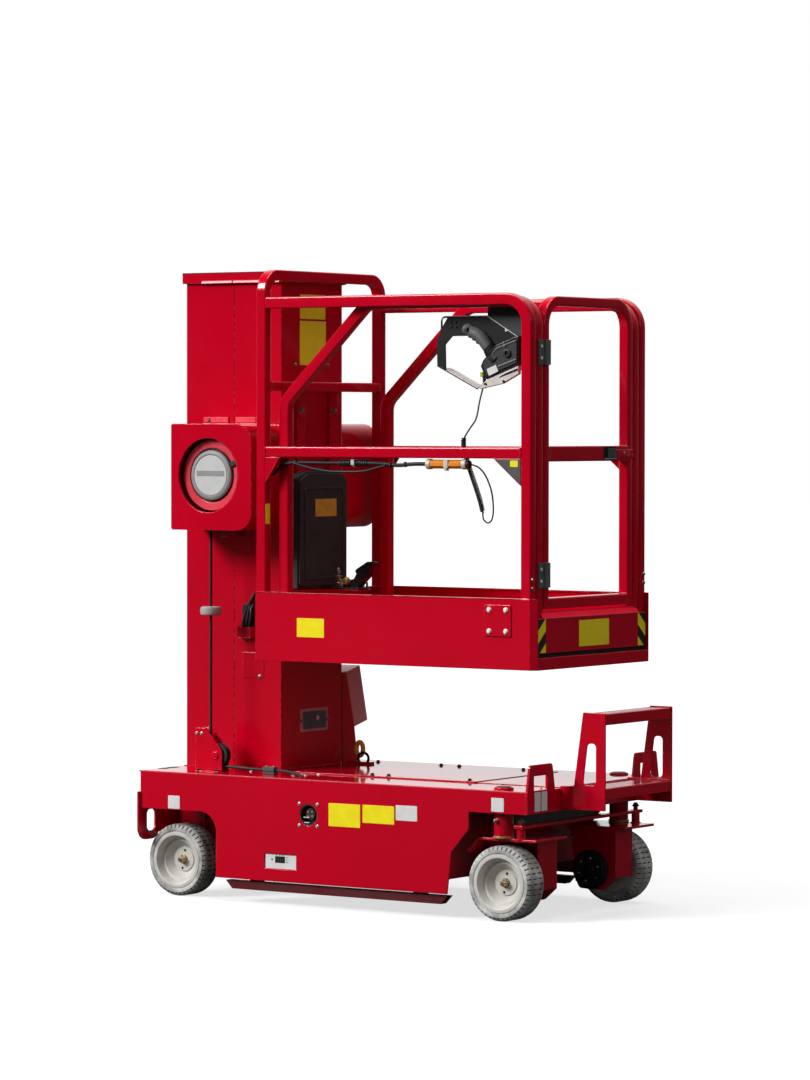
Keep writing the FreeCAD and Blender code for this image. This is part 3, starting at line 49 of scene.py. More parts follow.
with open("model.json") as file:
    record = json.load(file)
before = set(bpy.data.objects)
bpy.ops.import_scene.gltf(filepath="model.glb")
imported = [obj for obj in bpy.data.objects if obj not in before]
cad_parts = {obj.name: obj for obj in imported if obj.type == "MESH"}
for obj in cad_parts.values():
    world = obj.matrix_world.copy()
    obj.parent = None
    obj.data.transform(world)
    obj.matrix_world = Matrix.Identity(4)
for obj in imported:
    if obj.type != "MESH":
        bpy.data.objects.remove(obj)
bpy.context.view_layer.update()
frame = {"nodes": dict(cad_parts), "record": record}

# Places are in millimetres from the floor midway between the axles; the model's origin lies this many metres ahead.
MID_AXLES = 0.0795
SHARP = math.radians(33)
FRONT, LEFT, RIGHT, UP = (1, 0, 0), (0, 1, 0), (0, -1, 0), (0, 0, 1)
RED = "red paint"


def metres(sizes):
    """A size in millimetres, or nested rows of sizes, in metres."""
    return sizes / 1000 if isinstance(sizes, (int, float)) else tuple(metres(size) for size in sizes)


def lit(red, green, blue):
    """A colour as it is seen, from 0 to 255, as linear light."""
    def one(level):
        level = level / 255
        return level / 12.92 if level <= 0.04045 else ((level + 0.055) / 1.055) ** 2.4
    return (one(red), one(green), one(blue), 1.0)


def linked(label, data):
    """An object for some data, in the scene."""
    thing = bpy.data.objects.new(label, data)
    bpy.context.scene.collection.objects.link(thing)
    return thing


# Finishes

class Nodes:
    """Short calls for a node tree: settings and inputs by name, or inputs by number, from values or other nodes."""

    def __init__(self, tree):
        self.tree = tree
        tree.nodes.clear()

    def add(self, kind, *numbered, **named):
        node = self.tree.nodes.new(kind)
        settings = {key: value for key, value in named.items() if key in node.bl_rna.properties}
        for key, value in settings.items():
            setattr(node, key, value)
        given = [(key.replace("_", " "), value) for key, value in named.items() if key not in settings]
        for key, value in list(enumerate(numbered)) + given:
            for source in value if isinstance(value, list) else [value]:
                if isinstance(source, bpy.types.NodeSocket):
                    self.tree.links.new(source, node.inputs[key])
                elif source is not None:
                    node.inputs[key].default_value = source
        return node

    def out(self, output, kind, *numbered, **named):
        """One output of a new node."""
        return self.add(kind, *numbered, **named).outputs[output]

    def math(self, operation, *values):
        return self.out("Value", "ShaderNodeMath", *values, operation=operation)

    def ranged(self, value, start, end, low, high, **settings):
        """A value brought from one range to another."""
        return self.out("Result", "ShaderNodeMapRange", Value=value, From_Min=start, From_Max=end, To_Min=low,
                        To_Max=high, **settings)

    def noise(self, place, scale, detail, low, high, start=0.35, end=0.65):
        """Noise brought between two levels."""
        grey = self.out("Fac", "ShaderNodeTexNoise", Vector=place, Scale=scale, Detail=detail, Roughness=0.6)
        return self.ranged(grey, start, end, low, high)

    def colours(self, share, first, second):
        """Two colours mixed by a share."""
        return self.out(2, "ShaderNodeMix", share, *[None] * 5, first, second, data_type="RGBA")

    def levels(self, share, first, second):
        """Two values mixed by a share."""
        return self.out(0, "ShaderNodeMix", share, None, first, second, data_type="FLOAT")


def new_material(name):
    material = bpy.data.materials.new(name)
    material.use_nodes = True
    return material, Nodes(material.node_tree)


GRAIN_HEIGHT = 0.001
# Scale of the noise that breaks up the painted highlight and wear along edges.
HIGHLIGHT_AND_WEAR_BREAKUP_SCALE = 60.0


def finish(name, colour, worn, rough, grain=400.0, depth=0.05, patch=6.0, metallic=0.0, coat=0.0, edge=0.0015,
           edge_tone=None, specular=0.5):
    """A finish with patchy tone, uneven gloss, fine grain and rounded-looking edges, with a lighter tone along the
    edges, broken up by noise, that is both painted highlight and light wear.
    """
    nodes = new_material(name)[1]
    place = nodes.out("Object", "ShaderNodeTexCoord")
    tone = nodes.colours(nodes.noise(place, patch, 5.0, 0.0, 1.0), colour, worn)
    bevel = nodes.out("Normal", "ShaderNodeBevel", samples=6, Radius=edge)
    # The lighter edge tone is painted highlight where edges catch the light; on the dark finishes it also stands for
    # light wear.
    if edge_tone:
        flat = nodes.out("True Normal", "ShaderNodeNewGeometry")
        turned = nodes.ranged(nodes.out("Value", "ShaderNodeVectorMath", flat, bevel, operation="DOT_PRODUCT"),
                              0.97, 0.8, 0.0, 1.0)
        highlight_and_wear_breakup = nodes.noise(place, HIGHLIGHT_AND_WEAR_BREAKUP_SCALE, 4.0, 0.0, 1.0, 0.45, 0.6)
        tone = nodes.colours(nodes.math("MULTIPLY", turned, highlight_and_wear_breakup), tone, lit(*edge_tone))
    fine = nodes.out("Fac", "ShaderNodeTexNoise", Vector=place, Scale=grain, Detail=2.0)
    bump = nodes.out("Normal", "ShaderNodeBump", Strength=depth, Distance=GRAIN_HEIGHT, Height=fine, Normal=bevel)
    gloss = nodes.noise(place, patch * 2.5, 6.0, *rough)
    shader = nodes.out("BSDF", "ShaderNodeBsdfPrincipled", Metallic=metallic, Coat_Weight=coat, Coat_Roughness=0.06,
                       Specular_IOR_Level=specular, Base_Color=tone, Roughness=gloss, Normal=bump)
    nodes.add("ShaderNodeOutputMaterial", Surface=shader)


# Each finish: name, colour, worn colour and roughness, then grain, depth, patches and other settings
# where they aren't the usual ones.
FINISHES = (
    # Darker rubber for the grooves' floors: painted shade in the grooves.
    ("tyre groove", (70, 70, 70), (52, 52, 52), (0.85, 0.95), 1500.0, 0.2),
    ("rim paint", (214, 211, 204), (200, 197, 190), (0.35, 0.5), 500.0, 0.04, 20.0),
    ("black plastic", (38, 38, 40), (30, 30, 32), (0.42, 0.6), 1800.0, 0.2),
    ("black steel", (34, 34, 36), (26, 26, 28), (0.35, 0.5), 600.0, {"edge_tone": (70, 70, 72)}),
    ("black rubber", (26, 26, 28), (20, 20, 22), (0.5, 0.65), 1400.0, 0.15),
    ("mast steel", (150, 151, 154), (128, 129, 132), (0.28, 0.42), 300.0, 0.04, {"metallic": 1.0}),
    ("zinc", (200, 198, 190), (170, 166, 156), (0.22, 0.4), 900.0, 0.05, 90.0, {"metallic": 1.0}),
    ("brass", (214, 180, 112), (176, 144, 84), (0.25, 0.45), 900.0, 0.05, 90.0, {"metallic": 0.5}),
    ("dark steel", (74, 72, 70), (54, 52, 50), (0.35, 0.55), 700.0, 0.08, 60.0, {"metallic": 1.0}),
    ("grey plastic", (150, 150, 148), (138, 138, 136), (0.45, 0.6), 1200.0, 0.1),
    ("light grey plastic", (205, 205, 202), (194, 194, 190), (0.4, 0.55), 1200.0, 0.08),
    ("charcoal plastic", (46, 46, 46), (38, 38, 38), (0.55, 0.7), 1500.0, 0.35),
    ("orange plastic", (242, 150, 20), (228, 132, 12), (0.35, 0.5), 1200.0, 0.06),
    ("yellow plate", (255, 238, 24), (246, 228, 18), (0.28, 0.4), 900.0, 0.02, 30.0),
    ("ochre plate", (206, 160, 40), (190, 146, 34), (0.35, 0.5), 900.0, 0.02, 30.0),
    ("white plate", (232, 232, 230), (220, 220, 218), (0.28, 0.4), 900.0, 0.02, 30.0),
    ("reel label", (206, 207, 206), (198, 199, 198), (0.3, 0.4), 900.0, 0.01, 20.0),
    # Lighter than the boxes are: painted light from the front.
    ("brown box paint", (250, 186, 190), (232, 170, 174), (0.35, 0.5), 700.0, 0.03, {"coat": 0.2}),
    # A darker red: painted shade, on the floor guards and under the mast's cap.
    ("dark red edge", (96, 8, 22), (80, 6, 18), (0.4, 0.55), 500.0, 0.03, 4.0),
    # A paler red for strips, tabs and rings: painted highlight where they catch the light.
    ("lit red", (232, 74, 90), (220, 60, 76), (0.25, 0.35), 700.0, 0.02, 8.0),
    ("pale frame", (206, 160, 170), (188, 144, 154), (0.4, 0.55), 900.0, 0.03, 20.0),
    ("pale ring", (214, 208, 200), (198, 192, 184), (0.35, 0.5), 1200.0, 0.05, 30.0),
    ("pale tray", (226, 217, 212), (208, 199, 194), (0.3, 0.45), 1200.0, 0.04, 20.0),
    ("pale charcoal", (72, 74, 74), (60, 62, 62), (0.5, 0.65), 1500.0, 0.2),
    ("pale zinc", (226, 222, 214), (204, 200, 190), (0.25, 0.4), 900.0, 0.04, 90.0, {"metallic": 0.6}),
    ("bolt caps", (250, 245, 242), (238, 232, 228), (0.3, 0.45), 900.0, 0.05, 60.0),
    ("slate plastic", (78, 84, 80), (66, 72, 68), (0.45, 0.6), 1200.0, 0.12, 20.0),
    ("hinge steel", (98, 106, 102), (84, 92, 88), (0.4, 0.55), 700.0, 0.05, 12.0),
    ("slate steel", (44, 52, 50), (36, 42, 40), (0.4, 0.55), 700.0, 0.05, 12.0),
    ("stopper plastic", (176, 170, 166), (158, 152, 148), (0.45, 0.6), 1200.0, 0.1, 20.0),
    ("glossy black", (34, 34, 36), (26, 26, 28), (0.2, 0.32), 900.0, 0.04, 12.0,
     {"coat": 0.3, "edge_tone": (92, 92, 94)}),
    ("grip rubber", (98, 98, 100), (80, 80, 82), (0.5, 0.65), 1600.0, 0.25, 24.0),
    ("grey ridge", (120, 122, 124), (98, 100, 102), (0.4, 0.55), 1200.0, 0.06, 24.0),
    ("lime plastic", (186, 196, 40), (168, 178, 30), (0.4, 0.55), 1200.0, 0.06, 24.0),
    ("deep black", (20, 21, 21), (14, 15, 15), (0.5, 0.62), 900.0, 0.04, 12.0, {"specular": 0.25}),
    # Brighter than the red paint: painted light on the front board's lip.
    ("flat red", (255, 20, 60), (244, 14, 50), (0.6, 0.7), 700.0, 0.02, 2.0, {"specular": 0.15}),
    ("mauve plate", (88, 116, 122), (76, 102, 108), (0.4, 0.55), 900.0, 0.03, 20.0),
    # Paler than the orange ring is: painted light on a ring in shade.
    ("bright orange", (255, 214, 90), (252, 200, 76), (0.3, 0.42), 1200.0, 0.05, 20.0),
    ("stripe black", (26, 24, 26), (20, 18, 20), (0.3, 0.45), 900.0, 0.02, 30.0),
    # Near black: painted shade in holes, slots, gaps and recesses, and the own colour of a few dark parts such as the
    # display's screen and lamps.
    ("dark hollow", (16, 14, 14), (10, 9, 9), (0.7, 0.9), 600.0),
)


def make_finishes():
    """All the finishes, those of the paint and the tyres from the colours in the sidebar."""
    look = bpy.context.scene.mast_lift_look
    red, deep = ((*(share * level for level in look.paint), 1.0) for share in (1, 0.9))
    tyre = (*look.tyre, 1.0)
    # The red paints' pink edge tone is painted highlight along their edges.
    finish("red paint", red, deep, (0.13, 0.18), 700.0, 0.012, 1.6, coat=0.1, edge=0.0035, edge_tone=(236, 92, 106))
    finish("deck paint", red, deep, (0.05, 0.09), 500.0, 0.012, 1.6, edge=0.0022, edge_tone=(226, 70, 84))
    finish("grey tyre rubber", tyre, lit(134, 134, 132), (0.75, 0.9), 1500.0, 0.25, 14.0)
    for name, colour, worn, rough, *rest in FINISHES:
        more = rest.pop() if rest and isinstance(rest[-1], dict) else {}
        finish(name, lit(*colour), lit(*worn), rough, *rest, **more)


# The box slot's paint is lighter than the boxes are: painted light from the front.
NODE_FINISH = {
    "red_paint": "red paint", "grey_tyre": "grey tyre rubber", "rim_grey": "rim paint", "box_grey": "brown box paint",
    "black_plastic": "black plastic", "grey_plastic": "grey plastic", "orange_plastic": "orange plastic",
    "black_steel": "black steel", "dark_steel": "mast steel", "cable_rubber": "black rubber",
}
# The floor guards take the darker red as painted shade under the chassis.
OWN_FINISH = {"deck_plate": "deck paint", "floor_guards": "dark red edge"}


def paint_nodes():
    """Give every CAD node the finish of its material slot, or its own."""
    for part in frame["record"]["subparts"]:
        node = frame["nodes"][part["node"]]
        look = bpy.data.materials[OWN_FINISH.get(part["node"], NODE_FINISH[part["material_slot"]])]
        for holder in node.material_slots:
            holder.material = look
        if not node.material_slots:
            node.data.materials.append(look)


# Shapes: makers return closed shapes in metres, and take millimetres where they don't say metres

def block(low, high):
    shape = bmesh.new()
    bmesh.ops.create_cube(shape, size=1.0)
    low, high = Vector(metres(low)), Vector(metres(high))
    for vert in shape.verts:
        vert.co = Vector([low[i] + (vert.co[i] + 0.5) * (high[i] - low[i]) for i in range(3)])
    return shape


def outward(shape):
    bmesh.ops.recalc_face_normals(shape, faces=shape.faces[:])
    return shape


def arc_corners(points, steps=6):
    """A flat outline whose corners with a third number are rounded to that radius."""
    done = []
    for i, point in enumerate(points):
        here = Vector(point[:2])
        if len(point) < 3 or not point[2]:
            done.append(here)
            continue
        back = (Vector(points[i - 1][:2]) - here).normalized()
        ahead = (Vector(points[(i + 1) % len(points)][:2]) - here).normalized()
        half = back.angle(ahead) / 2
        reach = point[2] / math.tan(half)
        centre = here + (back + ahead).normalized() * (point[2] / math.sin(half))
        start = here + back * reach - centre
        total = start.angle_signed(here + ahead * reach - centre)
        done += [centre + Matrix.Rotation(-total * k / steps, 2) @ start for k in range(steps + 1)]
    return done


# For each plane, a point from its two directions and the level across it.
LIFTS = {
    "xz": lambda u, v, w: Vector((u, w, v)),
    "yz": lambda u, v, w: Vector((w, u, v)),
    "xy": lambda u, v, w: Vector((u, v, w)),
}


def sheet(plane, loops, low, high):
    """A flat piece with windows: outlines in a plane, with its thickness from low to high."""
    shape = bmesh.new()
    lift = LIFTS[plane]
    low, high = metres((low, high))
    edges = []
    for loop in loops:
        verts = [shape.verts.new(lift(p[0], p[1], low)) for p in arc_corners(metres(loop))]
        edges += [shape.edges.new((a, b)) for a, b in zip(verts, verts[1:] + verts[:1])]
    bmesh.ops.triangle_fill(shape, use_beauty=True, edges=edges)
    bmesh.ops.dissolve_limit(shape, angle_limit=0.001, verts=shape.verts[:], edges=shape.edges[:])
    pushed = bmesh.ops.extrude_face_region(shape, geom=shape.faces[:])["geom"]
    bmesh.ops.translate(shape, vec=lift(0, 0, high - low),
                        verts=[item for item in pushed if isinstance(item, bmesh.types.BMVert)])
    return outward(shape)


def oblong(across, up, corner=0, rounded="1111"):
    """A rectangle's outline; corners are rounded where a 1 stands, from the low corner round."""
    corners = ((across[0], up[0]), (across[1], up[0]), (across[1], up[1]), (across[0], up[1]))
    return [(*at, corner * int(mark)) for at, mark in zip(corners, rounded)]


def round_places(count, first=0.0):
    """Cosine and sine of angles evenly spaced round a circle."""
    return [(math.cos(angle), math.sin(angle)) for angle in (first + 2 * math.pi * k / count for k in range(count))]


def frame_towards(direction):
    """A turn that takes the Z axis to a direction."""
    return Vector(direction).to_track_quat("Z", "Y").to_matrix().to_4x4()


def rod(start, end, radius, sides=32, radius2=None):
    shape = bmesh.new()
    start, end = Vector(metres(start)), Vector(metres(end))
    along = end - start
    bmesh.ops.create_cone(shape, cap_ends=True, segments=sides, radius1=radius / 1000, depth=along.length,
                          radius2=(radius if radius2 is None else radius2) / 1000)
    bmesh.ops.transform(shape, verts=shape.verts[:],
                        matrix=Matrix.Translation((start + end) / 2) @ frame_towards(along))
    return shape


def lathe(profile, start, along, sides=64):
    """A closed section of (radius, height) corners turned about a line."""
    shape = bmesh.new()
    rings = [[shape.verts.new((r * c, r * s, h)) for r, h, *_ in metres(profile)] for c, s in round_places(sides)]
    for a, b in zip(rings, rings[1:] + rings[:1]):
        for i in range(len(profile)):
            j = (i + 1) % len(profile)
            shape.faces.new((a[i], b[i], b[j], a[j]))
    bmesh.ops.remove_doubles(shape, verts=shape.verts[:], dist=1e-6)
    bmesh.ops.transform(shape, verts=shape.verts[:], matrix=Matrix.Translation(metres(start)) @ frame_towards(along))
    return outward(shape)


def sweep(section, path, side=None, closed=False):
    """A section carried along a path, both in metres; side holds it upright, or else it turns as little as it can."""
    shape = bmesh.new()
    path = [Vector(p) for p in path]
    rings = []
    previous = None
    last = len(path) - 1
    for i, point in enumerate(path):
        if closed:
            along = (path[(i + 1) % len(path)] - path[i - 1]).normalized()
        else:
            along = (path[min(i + 1, last)] - path[max(i - 1, 0)]).normalized()
        if side is not None:
            across = Vector(side).normalized()
        elif previous is None:
            across = along.orthogonal().normalized()
        else:
            across = (previous - along * previous.dot(along)).normalized()
        previous = across
        other = along.cross(across)
        stretch = 1.0
        if side is not None and (0 < i < last or closed):
            stretch = 1.0 / max(0.3, (point - path[i - 1]).normalized().dot(along))
        rings.append([shape.verts.new(point + across * u + other * (v * stretch)) for u, v in section])
    for a, b in list(zip(rings, rings[1:])) + ([(rings[-1], rings[0])] if closed else []):
        for i in range(len(section)):
            j = (i + 1) % len(section)
            shape.faces.new((a[i], a[j], b[j], b[i]))
    if not closed:
        shape.faces.new(rings[0])
        shape.faces.new(list(reversed(rings[-1])))
    return outward(shape)


def circle(radius, sides):
    """A round section for a sweep, in metres."""
    return [(radius * c, radius * s) for c, s in round_places(sides)]


def hoop(centre, reach_x, reach_z, radius, steps, sides):
    """A closed round bar along an upright ellipse."""
    x, y, z = centre
    path = [metres((x + reach_x * c, y, z + reach_z * s)) for c, s in round_places(steps)]
    return sweep(circle(radius / 1000, sides), path, closed=True)


def tube_run(plane, corners, level, width, depth, corner=5, steps=10):
    """A rounded rectangular tube along a bent path in one plane; width lies across the plane."""
    corners = metres(corners)
    half_w, half_d = width / 2000, depth / 2000
    section = arc_corners([(u, v, corner / 1000) for u, v in ((half_w, half_d), (-half_w, half_d), (-half_w, -half_d),
                                                               (half_w, -half_d))], 3)
    middle = []
    for i in range(1, len(corners) - 1):
        middle += arc_corners([corners[i - 1][:2], corners[i], corners[i + 1][:2]], steps)[1:-1]
    path = [LIFTS[plane](p[0], p[1], level / 1000) for p in [corners[0]] + middle + [corners[-1]]]
    return sweep([tuple(p) for p in section], path, {"xz": LEFT, "yz": FRONT, "xy": UP}[plane])


def tapered(points, radii, sides):
    """A round bar along points whose radius changes from point to point."""
    points = [Vector(p) for p in metres(points)]
    shape = sweep(circle(1.0, sides), points)
    shape.verts.ensure_lookup_table()
    for k, vert in enumerate(shape.verts):
        ring = min(k // sides, len(points) - 1)
        vert.co = points[ring] + (vert.co - points[ring]) * (radii[ring] / 1000)
    return shape


class Piece:
    """Gathers closed shapes of several finishes into one object."""

    def __init__(self, label):
        self.label = label
        self.mesh = bmesh.new()
        self.looks = []

    def add(self, shape, look, soft=0.0, steps=2, mirror=False):
        """Join a shape in, with its sharp edges rounded, on one side or on both."""
        if soft:
            edges = [e for e in shape.edges if len(e.link_faces) == 2 and e.calc_face_angle(0) > SHARP]
            bmesh.ops.bevel(shape, geom=edges, offset=soft / 1000, segments=steps, profile=0.5, affect="EDGES",
                            clamp_overlap=True)
        if look not in self.looks:
            self.looks.append(look)
        for face in shape.faces:
            face.material_index = self.looks.index(look)
            face.smooth = True
        holder = bpy.data.meshes.new("shape")
        shape.to_mesh(holder)
        self.mesh.from_mesh(holder)
        if mirror:
            bmesh.ops.scale(shape, vec=(1, -1, 1), verts=shape.verts[:])
            bmesh.ops.reverse_faces(shape, faces=shape.faces[:])
            shape.to_mesh(holder)
            self.mesh.from_mesh(holder)
        bpy.data.meshes.remove(holder)
        shape.free()

    def block(self, low, high, look, soft=0.0, mirror=False):
        self.add(block(low, high), look, soft, mirror=mirror)

    def rod(self, start, along, height, radius, sides, look, soft=0.0):
        """A round or flat-sided bar from a place, along an axis, of a height."""
        end = [a + height * b for a, b in zip(start, along)]
        self.add(rod(start, end, radius, sides), look, soft)

    def plate(self, look, plane, across, up, level, lift=0.6, corner=3):
        """A thin blank plate on a face that looks to the right (xz) or forward (yz)."""
        low, high = (level - lift, level + 0.2) if plane == "xz" else (level - 0.2, level + lift)
        self.add(sheet(plane, [oblong(across, up, corner)], low, high), look)

    def weld(self, points, radius=3.5):
        """A low bead along a joint."""
        radius /= 1000
        points = [Vector(p) for p in metres(points)]
        beads = []
        for a, b in zip(points, points[1:]):
            count = max(2, int((b - a).length / (radius * 0.9)))
            beads += [a.lerp(b, k / count) for k in range(count)]
        beads.append(points[-1])
        sides = 8
        shape = sweep(circle(radius, sides), beads)
        for k, vert in enumerate(shape.verts):
            ring = k // sides
            vert.co = beads[ring] + (vert.co - beads[ring]) * (1.0 if ring % 2 else 0.86)
        self.add(shape, RED)

    def done(self, body, slot, *replaced):
        """Turn the gathered shapes into a piece that rides on a body."""
        mesh = bpy.data.meshes.new(self.label)
        bmesh.ops.translate(self.mesh, vec=(-MID_AXLES, 0, 0), verts=self.mesh.verts[:])
        self.mesh.to_mesh(mesh)
        self.mesh.free()
        for look in self.looks:
            mesh.materials.append(bpy.data.materials[look])
        mesh.set_sharp_from_angle(angle=SHARP)
        piece = linked(self.label, mesh)
        piece.modifiers.new("Even normals", "WEIGHTED_NORMAL").keep_sharp = True
        settle(piece, body, slot, *replaced)


def settle(piece, body, slot, *replaced):
    """Apply a piece's modifiers and put it on its body; the material slot it is given is not used."""
    piece.data = bpy.data.meshes.new_from_object(piece.evaluated_get(bpy.context.evaluated_depsgraph_get()))
    piece.modifiers.clear()
    piece.data.name = piece.name
    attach(piece, body)
    if replaced:
        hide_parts(*replaced)


# Repeats, made by Geometry Nodes on points that carry a vector each

def new_tree(name, *inputs):
    """A Geometry Nodes tree with inputs, given as names and kinds, and one output."""
    tree = bpy.data.node_groups.new(name, "GeometryNodeTree")
    for label, kind in (("Geometry", "Geometry"), *inputs):
        tree.interface.new_socket(label, in_out="INPUT", socket_type=f"NodeSocket{kind}")
    tree.interface.new_socket("Geometry", in_out="OUTPUT", socket_type="NodeSocketGeometry")
    nodes = Nodes(tree)
    return tree, nodes, nodes.add("NodeGroupInput").outputs


def raised(nodes, shape, height):
    """A shape of a tree lifted by a height."""
    way = nodes.out("Vector", "ShaderNodeCombineXYZ", Z=height)
    return nodes.out("Geometry", "GeometryNodeTransform", Geometry=shape, Translation=way)


def named_vector(nodes, name):
    return nodes.out("Attribute", "GeometryNodeInputNamedAttribute", data_type="FLOAT_VECTOR", Name=name)


def on_points(nodes, points, shapes, **turn):
    """Real copies of joined shapes on every point."""
    join = nodes.out("Geometry", "GeometryNodeJoinGeometry", Geometry=shapes)
    copies = nodes.out("Instances", "GeometryNodeInstanceOnPoints", Points=points, Instance=join, **turn)
    return nodes.out("Geometry", "GeometryNodeRealizeInstances", Geometry=copies)


def run_tree(tree, label, body, slot, places, vector_name, vectors, **values):
    """A piece made by a tree on points in metres."""
    mesh = bpy.data.meshes.new(label)
    mesh.from_pydata(places, [], [])
    held = mesh.attributes.new(vector_name, "FLOAT_VECTOR", "POINT")
    for i, vector in enumerate(vectors):
        held.data[i].vector = vector
    piece = linked(label, mesh)
    nodes = piece.modifiers.new("Repeats", "NODES")
    nodes.node_group = tree
    for socket in tree.interface.items_tree:
        if socket.in_out == "INPUT" and socket.name.replace(" ", "_") in values:
            nodes[socket.identifier] = values[socket.name.replace(" ", "_")]
    settle(piece, body, slot)


def fastener_tree(sides):
    """A washer and a head with a chamfered top on every point."""
    tree, nodes, given = new_tree(f"Heads with {sides} sides", ("Head Radius", "Float"), ("Head Height", "Float"),
                                  ("Washer Radius", "Float"), ("Finish", "Material"))
    radius, height = given["Head Radius"], given["Head Height"]
    washer = nodes.out("Mesh", "GeometryNodeMeshCylinder", Vertices=20, Depth=0.0016, Radius=given["Washer Radius"])
    head = nodes.out("Mesh", "GeometryNodeMeshCylinder", Vertices=sides, Radius=radius, Depth=height)
    crown = nodes.out("Mesh", "GeometryNodeMeshCone", Vertices=sides, Depth=0.0012, Radius_Bottom=radius,
                      Radius_Top=nodes.math("MULTIPLY", radius, 0.8))
    shapes = [washer, raised(nodes, head, nodes.math("MULTIPLY", height, 0.5)), raised(nodes, crown, height)]
    turn = nodes.out("Rotation", "FunctionNodeAlignRotationToVector", axis="Z", Vector=named_vector(nodes, "facing"))
    real = on_points(nodes, given["Geometry"], shapes, Rotation=turn)
    paint = nodes.out("Geometry", "GeometryNodeSetMaterial", Geometry=real, Material=given["Finish"])
    nodes.add("NodeGroupOutput", Geometry=paint)
    return tree


# The trees made so far, by the heads' number of sides.
TREES = {}


def fasteners(label, body, look, rows, radius, height, washer, sides=6):
    """Bolt or screw heads: rows give the places for each way that heads face."""
    if sides not in TREES:
        TREES[sides] = fastener_tree(sides)
    places = [(x / 1000 - MID_AXLES, y / 1000, z / 1000) for spots in rows.values() for x, y, z in spots]
    ways = [facing for facing, spots in rows.items() for _ in spots]
    run_tree(TREES[sides], label, body, "dark_steel", places, "facing", ways, Head_Radius=radius / 1000,
             Head_Height=height / 1000, Washer_Radius=washer / 1000, Finish=bpy.data.materials[look])


# Wheels

# Each wheel: name, axle's x, outer face's distance from the middle plane, and side.
WHEELS = (("rear_right", -619, 343, -1), ("rear_left", -619, 343, 1),
          ("front_right", 619, 364, -1), ("front_left", 619, 364, 1))
AXLE_HEIGHT = 115
TREAD_BLOCKS = 43
# Across the tyre from its outer face: distance, radius, and whether the cross grooves cut there.
TYRE_PROFILE = (
    (44, 83, 0), (2, 83, 0), (1.8, 90, 0), (1.6, 93.5, 0), (0.3, 94, 0), (0, 98.5, 0), (0.4, 103.5, 0),
    (1.2, 104.2, 1), (4.2, 109.8, 1), (8, 112.8, 1), (12, 114.2, 1), (12.4, 114.3, 0), (18, 115, 0), (18.4, 115, 1),
    (40.6, 115, 1), (41, 115, 0), (48, 115, 0), (48.4, 115, 1), (70.6, 115, 1), (71, 115, 0), (76, 114, 0),
    (76.4, 113.8, 1), (80, 111, 1), (83.8, 104.5, 1), (84.6, 103.5, 0), (85, 98.5, 0), (84.6, 94, 0), (83, 90, 0),
    (82.8, 83, 0),
)
GROOVE_DEPTH = 2.8
# Where the groove's walls and floor stand within one tread block, as shares of the block.
GROOVE_STATIONS = ((0.0, 0), (0.05, 1), (0.25, 1), (0.3, 0))
# Rim section: radius and depth behind the tyre's outer face.
RIM_PROFILE = (
    (89.5, 2.2), (89.5, 0.8), (88, 0), (79.5, 0), (77.8, 1.2), (77, 4), (70, 20), (68.5, 22.2), (60, 23.2),
    (58.5, 24.5), (56, 30), (42, 43.2), (40.8, 44.5), (39.2, 44.2), (38.4, 43), (38.4, 41.2), (37.6, 40.2),
    (12.5, 40.2), (12.5, 82), (78, 82), (82.5, 79), (82.5, 2.2),
)


def make_tyre(label, x, face, side):
    """Solid tyre with notched shoulders and two rows of short cross grooves, their floors darker as painted shade."""
    shape = bmesh.new()
    rings = []
    for block_number in range(TREAD_BLOCKS):
        for share, cut in GROOVE_STATIONS:
            angle = -side * 2 * math.pi * (block_number + share) / TREAD_BLOCKS
            ring = []
            for across, radius, grooved in TYRE_PROFILE:
                reach = radius - (GROOVE_DEPTH if cut and grooved else 0)
                ring.append(shape.verts.new(metres((x + reach * math.cos(angle), side * (face - across),
                                                    AXLE_HEIGHT + reach * math.sin(angle)))))
            rings.append(ring)
    count = len(TYRE_PROFILE)
    for k, (a, b) in enumerate(zip(rings, rings[1:] + rings[:1])):
        for i in range(count):
            j = (i + 1) % count
            quad = shape.faces.new((a[i], a[j], b[j], b[i]))
            # Groove floors take the darker rubber as painted shade.
            floor = k % len(GROOVE_STATIONS) == 1 and TYRE_PROFILE[i][2] and TYRE_PROFILE[j][2]
            quad.material_index = 1 if floor else 0
    outward(shape)
    for quad in shape.faces:
        quad.smooth = True
    mesh = bpy.data.meshes.new(f"solid_tyre_{label}")
    bmesh.ops.translate(shape, vec=(-MID_AXLES, 0, 0), verts=shape.verts[:])
    shape.to_mesh(mesh)
    shape.free()
    for look in ("grey tyre rubber", "tyre groove"):
        mesh.materials.append(bpy.data.materials[look])
    mesh.set_sharp_from_angle(angle=SHARP)
    settle(linked(f"solid_tyre_{label}", mesh), f"wheel_{label}", "grey_tyre", f"tyre_{label}")


